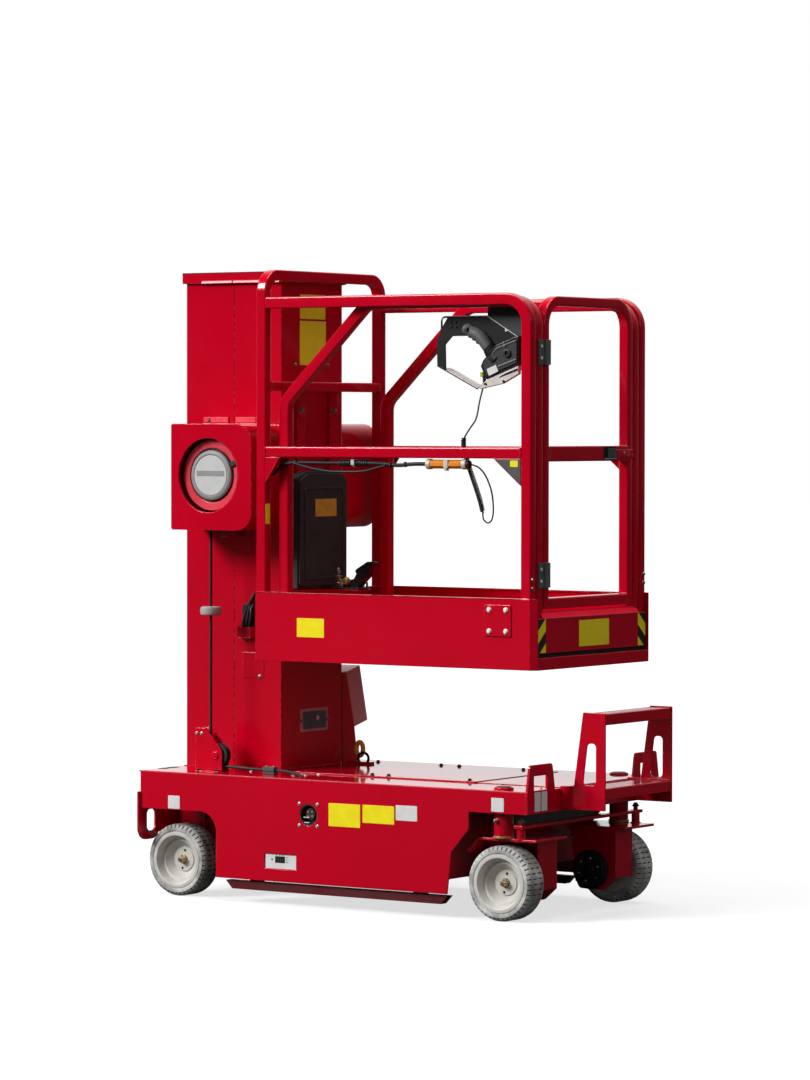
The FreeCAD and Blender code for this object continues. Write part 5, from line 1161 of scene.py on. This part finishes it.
def make_couplings():
    """Ribbed black coupling with its silver clip, and the orange coupling with pale end rings and latch."""
    joints = Piece("loom_couplings")
    ribbed = [(0, 0), (6.2, 0), (6.6, 8)]
    for first, after in ((10, [(10, 54), (11, 55), (11, 73), (10, 74)]), (76, [(6.6, 121), (6.2, 128), (0, 128)])):
        for at in (first + k * 8.5 for k in range(5)):
            ribbed += [(8, at), (10.8, at + 1.2), (10.8, at + 4.8), (8, at + 6.2)]
        ribbed += after
    start = (-13, -312, 1385)
    joints.add(lathe(ribbed, start, FRONT, 24), "black plastic")
    joints.add(lathe([(10.8, 60), (12.4, 60.4), (12.4, 69.6), (10.8, 70)], start, FRONT, 24), "light grey plastic")
    joints.block((45.5, -325.5, 1379), (58, -322.5, 1396.5), "light grey plastic", 0.8)
    body = [(0, 0), (7.5, 0), (8.5, 3), (15, 4), (15.5, 6), (15.5, 18), (14.8, 20), (13.8, 20), (13.8, 134),
            (14.8, 134), (15.5, 136), (15.5, 148), (15, 150), (8.5, 151), (7.5, 154), (0, 154)]
    start = (324, -318, 1384)
    joints.add(lathe(body, start, FRONT, 32), "orange plastic")
    for low in (4.5, 134.5):
        ring = [(15.4, low), (16, low + 1), (16, low + 14), (15.4, low + 15)]
        joints.add(lathe(ring, start, FRONT, 32), "pale ring")
    joints.block((345, -333, 1377.5), (455, -329, 1390.5), "orange plastic", 1)
    joints.block((396, -335.5, 1372), (412, -328.5, 1396), "pale ring", 1.2)
    joints.block((398.5, -334.5, 1364), (408, -320, 1374), "pale ring", 1.2)
    joints.add(lathe([(0, 0), (12, 0), (12.5, 2), (12.5, 7), (11, 9), (0, 9)], (474, -318, 1384), FRONT, 24),
               "black plastic")
    for x, y, z in ((-170, -316, 1386.2), (190, -316.5, 1380), (245, -317, 1382)):
        joints.add(lathe([(6.2, -3), (8.2, -2.6), (8.2, 2.6), (6.2, 3)], (x, y, z), FRONT, 20), "black plastic")
    joints.done("platform", "black_plastic", "harness_couplings")


# Controls

def make_joystick_bracket():
    """The joystick box's black bracket with its light rim and screws."""
    near = -265
    bracket = Piece("joystick_bracket")
    outer = [(327, 1684), (325, 1765, 20), (339.5, 1788, 10), (340, 1838, 18), (510, 1838, 4), (622, 1773),
             (622, 1735), (560, 1735), (500, 1752, 10), (438, 1776), (383, 1776, 6), (357, 1750, 6), (359, 1672),
             (346, 1675)]
    corner_hole = [(345.5, 1804, 1), (344.5, 1831, 6), (364, 1832.5, 1)]
    bracket.add(sheet("xz", [outer, corner_hole], near, near + 4), "deep black", 0.5)
    rim = [(352, 1838), (510, 1838), (622, 1772.5), (622, 1769.5), (509.5, 1835.2), (352, 1835.2)]
    bracket.add(sheet("xz", [rim], near - 1.2, near + 22), "pale ring", 0.3)
    lower = [(327, 1684), (474, 1612.5), (503, 1633), (501.5, 1635.5), (474, 1615.5), (328.5, 1686.8)]
    bracket.add(sheet("xz", [lower], near - 1.5, near + 1.5), "black steel", 0.3)
    shelf = [(347, 1677.2), (474, 1615.8), (499, 1633), (499, 1635.2), (474, 1618), (348, 1679.2)]
    bracket.add(sheet("xz", [shelf], near + 1, near + 50), "pale tray", 0.3)
    backing = [(505, 1760), (655, 1700), (655, 1840, 30), (640, 1868, 20), (510, 1868)]
    bracket.add(sheet("xz", [backing], near + 4.2, near + 7.2), "slate steel", 0.5)
    bracket.block((575, near - 0.6, 1788.5), (583, near + 0.2, 1795.5), "white plate")
    bracket.done("extension", "black_steel", "controller_bracket")
    screws = [(x, near - 0.4, z) for x, z in ((377, 1819), (395, 1818), (379, 1805), (398, 1805))]
    fasteners("bracket_screws", "extension", "dark steel", {RIGHT: screws}, 3.4, 2.2, 4, 12)


def make_joystick_box():
    """Joystick box: angular case with raised ridges, ribbed boot, grip and pale tray."""
    case = Piece("joystick_box")
    shell = [(500, 1683, 4), (520, 1642, 4), (640, 1686, 4), (640, 1776, 4), (623, 1772, 4), (554, 1747, 6),
             (508, 1700, 6)]
    case.add(sheet("xz", [shell], -288, -205), "glossy black", 6, 3)
    face = [(510, 1685, 6), (525, 1652, 6), (634, 1692, 6), (634, 1764, 6), (557, 1738, 8), (516, 1698, 6)]
    case.add(sheet("xz", [face], -291, -287.5), "black plastic", 2.2, 3)
    for path in (((546, 1714), (550, 1725), (564, 1737), (632, 1760)), ((568, 1682), (576, 1684), (632, 1703))):
        case.add(sweep(circle(0.003, 10), [metres((x, -290.8, z)) for x, z in path]), "grey ridge")
    ring = [(6, 0), (12.5, 0), (13.5, 1.5), (13, 5), (11, 6), (7.5, 6), (6, 3)]
    case.add(lathe(ring, (600, -290.5, 1721), RIGHT, 32), "black plastic")
    # A dark disc in the ring's middle: painted shade in its hole.
    case.rod((600, -290.8, 1721), RIGHT, 1.2, 6.2, 20, "dark hollow")
    case.block((586, -294.5, 1740), (594, -290, 1750), "grey ridge", 1.5)
    label = [(526, 1673.5), (534, 1653), (568, 1666.5), (559, 1687)]
    case.add(sheet("xz", [label], -292, -290.8), "white plate")
    tray = [(490, 1613, 2), (525, 1619, 4), (580, 1630, 4), (638, 1659, 2), (638, 1683), (523, 1640.5)]
    case.add(sheet("xz", [tray], -289, -274), "pale tray", 1)
    # The groove and the two holes are dark sheets and discs: painted shade.
    groove = [(567, 1647), (636, 1669), (636, 1676), (580, 1656)]
    case.add(sheet("xz", [groove], -290.2, -288.6), "dark hollow")
    for x, z in ((520, 1629), (586, 1636)):
        case.rod((x, -288.8, z), RIGHT, 3.2, 4.2, 16, "dark hollow", 0.8)
    case.block((478, -256, 1650), (488, -235, 1666), "lime plastic", 2)
    case.add(tapered([(492, -250, 1660), (491, -250, 1648), (491, -250, 1646), (490, -250, 1638), (489, -250, 1632)],
                     [7, 7, 5.5, 5, 3.4], 20), "black rubber")
    deep = -268
    boot = [(556, 1702), (542, 1716), (539.5, 1718.5), (535, 1723), (532.5, 1725.5), (528, 1730), (525.5, 1732.5),
            (521.5, 1736.5), (518, 1740)]
    sizes = [27.5, 27.5, 24.5, 27, 22.5, 25, 20.5, 22.5, 19]
    case.add(tapered([(x, deep, z) for x, z in boot], sizes, 32), "black rubber")
    stick = [(433, 1802), (436, 1800), (442, 1797), (450, 1793), (452, 1792.2), (460, 1788.5), (475, 1782),
             (490, 1773), (503, 1761), (513, 1748), (520, 1738)]
    grip = [13.5, 16.2, 17.2, 17.2, 15.8, 17.2, 19, 19.8, 19.4, 18.8, 18]
    case.add(tapered([(x, deep - 4, z) for x, z in stick], grip, 28), "grip rubber")
    for x, z in ((456, 1774.5), (470, 1766), (484.5, 1756)):
        case.add(rod((x, deep - 6, z + 4), (x - 3.5, deep - 6, z - 4), 8.5, 16, 6), "grip rubber", 1)
    case.block((446, deep - 27, 1790.5), (456, deep - 18, 1801), "black plastic", 1.5)
    case.done("extension", "black_plastic", "controller")


def make_ground_control():
    """Tilted control box with a recessed blank panel, stop button, key switch and two buttons."""
    box = Piece("ground_control_box")
    tilt = Matrix.Translation(metres((-533, 242, 518))) @ Matrix.Rotation(math.radians(14), 4, "X")

    def put(shape, look, soft=0):
        bmesh.ops.transform(shape, matrix=tilt, verts=shape.verts[:])
        box.add(shape, look, soft)
    # The box's paint is lighter than the box is: painted light from the front.
    put(block((0, 0, 0), (200, 79, 188)), "brown box paint", 3)
    put(block((6, 79, 6), (194, 82.5, 182)), "black plastic", 1)
    put(block((20, 82.2, 110), (110, 83.2, 172)), "white plate", 0.3)
    put(rod((155, 82.5, 140), (155, 83.5, 140), 20, 32), "yellow plate")
    put(lathe([(0, 0), (6.5, 0), (6.5, 0.8), (14, 1.2), (15, 1.8), (0, 2.4)], (155, 82.5, 140), LEFT, 32), RED)
    put(lathe([(0, 0), (10, 0), (10, 1.2), (8, 2.2), (0, 2.4)], (50, 82.5, 55), LEFT, 28), "zinc")
    # The key slot is a dark block: painted shade.
    put(block((48.5, 84, 48), (51.5, 85, 62)), "dark hollow")
    for x in (105, 155):
        put(lathe([(0, 0), (8, 0), (8, 1.4), (5, 2.2), (0, 2.4)], (x, 82.5, 55), LEFT, 24), "dark steel")
    box.done("chassis", "box_grey", "ground_control")


def make_tie_downs():
    """A black and an orange ring in their red plate on the deck; the orange is paler than the ring is, painted light
    on it in the mast's shade.
    """
    ties = Piece("tie_down_rings")
    ties.add(hoop((-256, 182, 422.5), 20, 19, 4.5, 32, 12), "glossy black")
    # The orange ring's paler colour is painted light.
    ties.add(hoop((-276, 190, 452), 13, 22, 7.8, 32, 12), "bright orange")
    ties.block((-315, 176, 404.2), (-225, 200, 412), RED, 1)
    ties.done("chassis", "orange_plastic")


# All the bolts and screws

def make_fasteners():
    """Rows of bolt and screw heads on each body."""
    x, z = SOCKET
    side = [(x + dx, -385.1, z + dz) for dx in (-34, 34) for dz in (-34, 34)]
    fasteners("socket_screws", "chassis", "pale zinc", {RIGHT: side}, 4.2, 2.6, 6, 16)
    deck = ((-262, 275), (-15, 275), (55, 275), (17.9, -165), (80.1, -165), (384.1, -165), (300, 275), (392, 275))
    fasteners("deck_bolts", "chassis", "dark steel", {UP: [(*at, 404.2) for at in deck]}, 6, 5.5, 9)
    small = ((-403.1, -233.2), (-200.1, -286.7), (-175.4, -255.3), (-157.5, -209.6), (-208, -230), (560, -255),
             (700, -255), (560, 330), (700, 330))
    fasteners("deck_screws", "chassis", "pale zinc", {UP: [(*at, 400.1) for at in small]}, 4.2, 3, 6, 12)
    guide = [(-569.2, -300.1, 520), (-549.7, -300.1, 520)]
    fasteners("bracket_caps", "chassis", "pale zinc", {RIGHT: guide}, 4.2, 3, 6, 16)
    mast = {RIGHT: [(-416.5, -169.5, 699.5), (-616, -172, 1518.5)],
            FRONT: [(MAST_FRONT, 90, 1696), (MAST_FRONT, -90, 1696), (MAST_FRONT + 1.2, -57, 555),
                    (MAST_FRONT + 1.2, 83, 555)]}
    fasteners("inspection_bolt", "platform", "bolt caps", {FRONT: [(MAST_FRONT + 2, 30, 561)]}, 5.5, 3.4, 7.5)
    fasteners("mast_bolts", "platform", "zinc", mast, 5, 3.4, 7)
    carriage = [(-310, y, z) for y in (-90.0045, 90.0045) for z in (1549, 1300, 1020)]
    fasteners("carriage_bolts", "platform", "zinc", {FRONT: carriage}, 8, 6, 12)
    posts = [(713.1, y, z) for y in (-326, 326) for z in (1037, 1010)]
    fasteners("post_bolts", "platform", "zinc", {FRONT: posts}, 5, 3.4, 7, 16)
    corner = {facing: [(a, facing[1] * 342.6, c) for a in (569, 629) for c in (879, 944)] for facing in (RIGHT, LEFT)}
    fasteners("corner_bolts", "platform", "bolt caps", corner, 6.6, 4, 8.5, 16)


# Control cord

LEAD_STOPS = metres(((489, -250, 1632), (484, -250, 1610), (476, -254, 1580), (475, -262, 1546), (474, -271, 1516),
                     (458, -280, 1496), (446, -285, 1473)))
COIL_STOPS = metres(((446, -285, 1473), (437, -288.75, 1455.75), (446, -286, 1410), (468, -285, 1350),
                     (490, -285, 1298), (505, -285, 1254), (508, -285, 1232)))
TAIL_STOPS = metres(((508, -285, 1232), (510.7, -285, 1212.2), (526, -286, 1201), (543, -288, 1209),
                     (551, -291, 1231), (553, -295, 1262), (552, -300, 1298), (543, -307, 1333), (528, -313, 1364),
                     (502, -318, 1384), (478, -318, 1384)))
COIL_RADIUS = 0.0085
# The curls' spacing as a share of the cord's diameter.
COIL_SPACING = 1.12
POINTS_PER_TURN = 12
# Gaps between the cord's control points: near the curls' ends, and elsewhere.
NEAR_GAPS = (0.0005, 0.001, 0.002, 0.004, 0.007, 0.012)
PLAIN_GAP = 0.018


def smooth_line(label, stops, radius=0.0, look=None):
    """A NURBS curve through the given control points, with a round section if a radius is given."""
    curve = bpy.data.curves.new(label, "CURVE")
    curve.dimensions = "3D"
    curve.bevel_depth = radius
    curve.bevel_resolution = 3
    curve.use_fill_caps = True
    curve.resolution_u = 3 if radius else 6
    spline = curve.splines.new("NURBS")
    spline.points.add(len(stops) - 1)
    for point, stop in zip(spline.points, stops):
        point.co = (stop[0] - MID_AXLES, stop[1], stop[2], 1.0)
    spline.order_u = 3
    spline.use_endpoint_u = True
    if look:
        curve.materials.append(bpy.data.materials[look])
    line = linked(label, curve)
    mesh = bpy.data.meshes.new_from_object(line.evaluated_get(bpy.context.evaluated_depsgraph_get()))
    bpy.data.objects.remove(line)
    return mesh


def line_points(stops):
    """Points along the smooth line of the control points, in metres."""
    return [vert.co + Vector((MID_AXLES, 0, 0)) for vert in smooth_line("guide", stops).vertices]


def place_at(path, marks, want):
    """Point and direction on a path at a length from its start."""
    k = next((i for i in range(1, len(marks) - 1) if marks[i] >= want), len(marks) - 1)
    along = (path[k] - path[k - 1]).normalized()
    return path[k - 1] + along * (want - marks[k - 1]), along


def cord_stops(radius, pitch, per_turn):
    """Control points of the whole cord: plain lead, wound stretch, plain tail."""
    path = line_points(LEAD_STOPS[:-1] + COIL_STOPS + TAIL_STOPS[1:])
    marks = [0.0]
    for a, b in zip(path, path[1:]):
        marks.append(marks[-1] + (b - a).length)
    begin, end = (marks[min(range(len(path)), key=lambda i: (path[i] - Vector(stop)).length)]
                  for stop in (COIL_STOPS[0], COIL_STOPS[-1]))
    steps = round(begin / PLAIN_GAP)
    lead = [s for s in (begin * k / steps for k in range(steps)) if s < begin - PLAIN_GAP]
    lead += [begin - gap for gap in reversed(NEAR_GAPS)]
    rest = marks[-1] - end
    steps = round(rest / PLAIN_GAP)
    tail = [end + gap for gap in NEAR_GAPS]
    tail += [s for s in (end + rest * k / steps for k in range(1, steps + 1)) if s > end + PLAIN_GAP]
    count = int((end - begin) / pitch) * per_turn
    wound = []
    angle, side = 0.0, place_at(path, marks, begin)[1].orthogonal().normalized()
    for k in range(count + 1):
        here, along = place_at(path, marks, begin + (end - begin) * k / count)
        side = (side - along * side.dot(along)).normalized()
        ease = min(1.0, k / (per_turn * 2.5), (count - k) / (per_turn * 2.5))
        ease = ease * ease * (3 - 2 * ease)
        angle += 2 * math.pi / per_turn * max(ease, 0.25)
        reach = radius * ease
        wound.append(here + side * (reach * math.cos(angle)) + along.cross(side) * (reach * math.sin(angle)))
    return [place_at(path, marks, s)[0] for s in lead] + wound + [place_at(path, marks, s)[0] for s in tail]


def make_cord():
    """The control cord from the joystick box, with its curly stretch, to the orange coupling."""
    thick = bpy.context.scene.mast_lift_look.cord_diameter
    stops = cord_stops(COIL_RADIUS - thick / 2, COIL_SPACING * thick, POINTS_PER_TURN)
    route = line_points(stops)
    mesh = smooth_line("cord_line", stops, thick / 2, "black rubber")
    mesh.name = "control_cord"
    for face in mesh.polygons:
        face.use_smooth = True
    cord = linked("control_cord", mesh)
    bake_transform(cord)
    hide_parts("cord_lead", "cord_coil", "cord_tail")
    x, y, z = LEAD_STOPS[0]
    sum((b - a).length for a, b in zip(route, route[1:]))


# Stage

# The way towards the bright backdrop behind the object.
BACKDROP_WAY = (-0.5605, 0.8277, 0.0266)
FLOOR_REACH = 60.0
# Each lamp: name, place, what it aims at, size and watts.
LAMPS = (
    ("key", (-13.5, -18.0, 14.4), (0.0, 0.0, 0.9), (9.0, 9.0), 7150.0),
    ("side", (19.5, -4.5, 7.8), (0.0, 0.0, 0.9), (7.5, 9.0), 225.0),
    ("top", (0.0, 0.0, 17.0), (0.0, 0.0, 0.5), (12.0, 12.0), 2070.0),
)
# The camera: turns in degrees, place in metres and focal length in millimetres.
CAMERA_TURNS = (34.105, -1.526, 0.073)
CAMERA_PLACE = (7.6687 - MID_AXLES, -11.2817, 1.5025)
CAMERA_LENS = 143.48


def make_floor():
    """A pale floor that glows towards white away from the object."""
    r = FLOOR_REACH
    mesh = bpy.data.meshes.new("studio_floor")
    mesh.from_pydata([(-r, -r, 0), (r, -r, 0), (r, r, 0), (-r, r, 0)], [], [(0, 1, 2, 3)])
    material, nodes = new_material("studio floor")
    place = nodes.out("Object", "ShaderNodeTexCoord")
    pale = nodes.colours(nodes.noise(place, 3.0, 4.0, 0.0, 1.0), (0.86, 0.86, 0.86, 1), (0.9, 0.9, 0.9, 1))
    seen = nodes.out("Is Camera Ray", "ShaderNodeLightPath")
    soft = nodes.out("BSDF", "ShaderNodeBsdfDiffuse", Color=nodes.colours(seen, (0.04, 0.04, 0.04, 1), pale))
    away = nodes.out("Value", "ShaderNodeVectorMath", place, operation="LENGTH")
    share = nodes.math("MULTIPLY", seen, nodes.ranged(away, 1.0, 3.5, 0.62, 1.0))
    glow = nodes.out("Emission", "ShaderNodeEmission", Strength=1.12)
    nodes.add("ShaderNodeOutputMaterial", Surface=nodes.out("Shader", "ShaderNodeMixShader", share, soft, glow))
    mesh.materials.append(material)
    linked("studio_floor", mesh)


def make_surroundings(ambient):
    """White to the camera, a bright backdrop to glossy paint, and soft grey light elsewhere."""
    world = bpy.data.worlds.new("studio")
    world.use_nodes = True
    bpy.context.scene.world = world
    nodes = Nodes(world.node_tree)
    path = nodes.add("ShaderNodeLightPath").outputs
    rays = nodes.math("MAXIMUM", path["Is Camera Ray"], path["Is Transmission Ray"])
    way = nodes.out("Generated", "ShaderNodeTexCoord")
    facing = nodes.out("Value", "ShaderNodeVectorMath", way, BACKDROP_WAY, operation="DOT_PRODUCT")
    backdrop = nodes.ranged(facing, 0.34, 0.98, 0.0, 1.0, interpolation_type="SMOOTHSTEP")
    strength = nodes.levels(rays, nodes.levels(path["Is Glossy Ray"], ambient, backdrop), 1.0)
    light = nodes.out("Background", "ShaderNodeBackground", Color=(1, 1, 1, 1), Strength=strength)
    nodes.add("ShaderNodeOutputWorld", Surface=light)


def make_stage():
    """Pale floor, soft lamps, white surroundings and the camera at the photograph's angle."""
    scene = bpy.context.scene
    look = scene.mast_lift_look
    make_floor()
    make_surroundings(look.ambient)
    for name, spot, aim, size, watts in LAMPS:
        lamp = bpy.data.lights.new(name, "AREA")
        lamp.shape = "RECTANGLE"
        lamp.size, lamp.size_y = size
        lamp.energy = watts * look.lamps
        holder = linked(name, lamp)
        holder.location = spot
        holder.rotation_euler = (Vector(aim) - Vector(spot)).to_track_quat("-Z", "Y").to_euler()
    camera = bpy.data.cameras.new("view")
    camera.lens = CAMERA_LENS
    camera.sensor_width = 36.0
    camera.clip_end = 200.0
    holder = linked("view", camera)
    yaw, pitch, roll = (math.radians(a) for a in CAMERA_TURNS)
    turn = Matrix.Rotation(yaw, 4, "Z") @ Matrix.Rotation(math.pi / 2 + pitch, 4, "X") @ Matrix.Rotation(roll, 4, "Z")
    holder.matrix_world = Matrix.Translation(CAMERA_PLACE) @ turn
    scene.camera = holder
    scene.view_settings.view_transform = "Standard"


class MastLiftLook(bpy.types.PropertyGroup):
    paint: bpy.props.FloatVectorProperty(name="Paint", description="Colour of the painted steel", subtype="COLOR",
                                         size=3, min=0, max=1, default=lit(202, 0, 34)[:3])
    tyre: bpy.props.FloatVectorProperty(name="Tyres", description="Colour of the solid tyres", subtype="COLOR",
                                        size=3, min=0, max=1, default=lit(222, 221, 217)[:3])
    ambient: bpy.props.FloatProperty(name="Room light", description="Strength of the light all round", default=0.22)
    lamps: bpy.props.FloatProperty(name="Lamps", description="Share of the lamps' full power", default=1.0)
    cord_diameter: bpy.props.FloatProperty(name="Cord", description="Diameter of the control cord",
                                           default=0.005, unit="LENGTH")


class Build:
    """Runs the makers of one group of pieces."""

    def execute(self, context):
        for maker in self.makers:
            maker()
        return {"FINISHED"}


class MASTLIFT_OT_finishes(Build, bpy.types.Operator):
    """Make the finishes and give them to the machine's own parts"""
    bl_idname, bl_label = "mast_lift.finishes", "Finishes"
    makers = (make_finishes, paint_nodes)


class MASTLIFT_OT_stage(Build, bpy.types.Operator):
    """Set up the floor, the lamps and the camera"""
    bl_idname, bl_label = "mast_lift.stage", "Stage"
    makers = (make_stage,)


class MASTLIFT_OT_cord(Build, bpy.types.Operator):
    """Hang the control cord"""
    bl_idname, bl_label = "mast_lift.cord", "Control cord"
    makers = (make_cord,)


class MASTLIFT_OT_wheels(Build, bpy.types.Operator):
    """Make the four solid tyres and their dished rims"""
    bl_idname, bl_label = "mast_lift.wheels", "Wheels"
    makers = (make_wheels,)


class MASTLIFT_OT_basket(Build, bpy.types.Operator):
    """Make the basket's frames: side frames, rear arch and sliding frames"""
    bl_idname, bl_label = "mast_lift.basket", "Basket frames"
    makers = (make_side_frames, make_rear_arch, make_extension)


class MASTLIFT_OT_gate(Build, bpy.types.Operator):
    """Make the gate with its latch and hinges"""
    bl_idname, bl_label = "mast_lift.gate", "Gate"
    makers = (make_gate, make_gate_hinges)


class MASTLIFT_OT_reel(Build, bpy.types.Operator):
    """Make the spring cable reel"""
    bl_idname, bl_label = "mast_lift.reel", "Cable reel"
    makers = (make_reel,)


class MASTLIFT_OT_chassis(Build, bpy.types.Operator):
    """Add the chassis's plates, socket, display, covers, caps and wheel motors"""
    bl_idname, bl_label = "mast_lift.chassis", "Chassis details"
    makers = (make_chassis_plates, make_deck_covers, make_chassis_sheets, make_kingpins, make_wheel_motors)


class MASTLIFT_OT_step(Build, bpy.types.Operator):
    """Make the entry step with its treads"""
    bl_idname, bl_label = "mast_lift.step", "Entry step"
    makers = (make_step,)


class MASTLIFT_OT_mast(Build, bpy.types.Operator):
    """Add the mast's plates, pocket and cable guides"""
    bl_idname, bl_label = "mast_lift.mast", "Mast details"
    makers = (make_mast_details, make_cable_guides)


class MASTLIFT_OT_fittings(Build, bpy.types.Operator):
    """Make the sliding deck, document box, slide lock and cable couplings"""
    bl_idname, bl_label = "mast_lift.fittings", "Basket fittings"
    makers = (make_sliding_deck, make_basket_fittings, make_document_box, make_slide_lock, make_couplings)


class MASTLIFT_OT_controls(Build, bpy.types.Operator):
    """Make the joystick box in its bracket and the ground control box"""
    bl_idname, bl_label = "mast_lift.controls", "Controls"
    makers = (make_joystick_bracket, make_joystick_box, make_ground_control, make_tie_downs)


class MASTLIFT_OT_fasteners(Build, bpy.types.Operator):
    """Add the bolts and screws"""
    bl_idname, bl_label = "mast_lift.fasteners", "Fasteners"
    makers = (make_fasteners,)


OPERATORS = (MASTLIFT_OT_finishes, MASTLIFT_OT_stage, MASTLIFT_OT_cord, MASTLIFT_OT_wheels, MASTLIFT_OT_basket,
             MASTLIFT_OT_gate, MASTLIFT_OT_reel, MASTLIFT_OT_chassis, MASTLIFT_OT_step, MASTLIFT_OT_mast,
             MASTLIFT_OT_fittings, MASTLIFT_OT_controls, MASTLIFT_OT_fasteners)


class MASTLIFT_PT_panel(bpy.types.Panel):
    """Buttons that build the mast lift's pieces"""
    bl_idname = "MASTLIFT_PT_panel"
    bl_label = "Mast Lift"
    bl_space_type = "VIEW_3D"
    bl_region_type = "UI"
    bl_category = "Mast Lift"

    def draw(self, context):
        look = context.scene.mast_lift_look
        for name in look.bl_rna.properties.keys():
            if name not in ("rna_type", "name"):
                self.layout.prop(look, name)
        for operator in OPERATORS:
            self.layout.operator(operator.bl_idname)


CLASSES = (MastLiftLook,) + OPERATORS + (MASTLIFT_PT_panel,)


def register():
    for item in CLASSES:
        bpy.utils.register_class(item)
    bpy.types.Scene.mast_lift_look = bpy.props.PointerProperty(type=MastLiftLook)


def unregister():
    del bpy.types.Scene.mast_lift_look
    for item in reversed(CLASSES):
        bpy.utils.unregister_class(item)


def main():
    register()
    for operator in OPERATORS:
        group, action = operator.bl_idname.split(".")
        getattr(getattr(bpy.ops, group), action)()


if __name__ == "__main__":
    main()
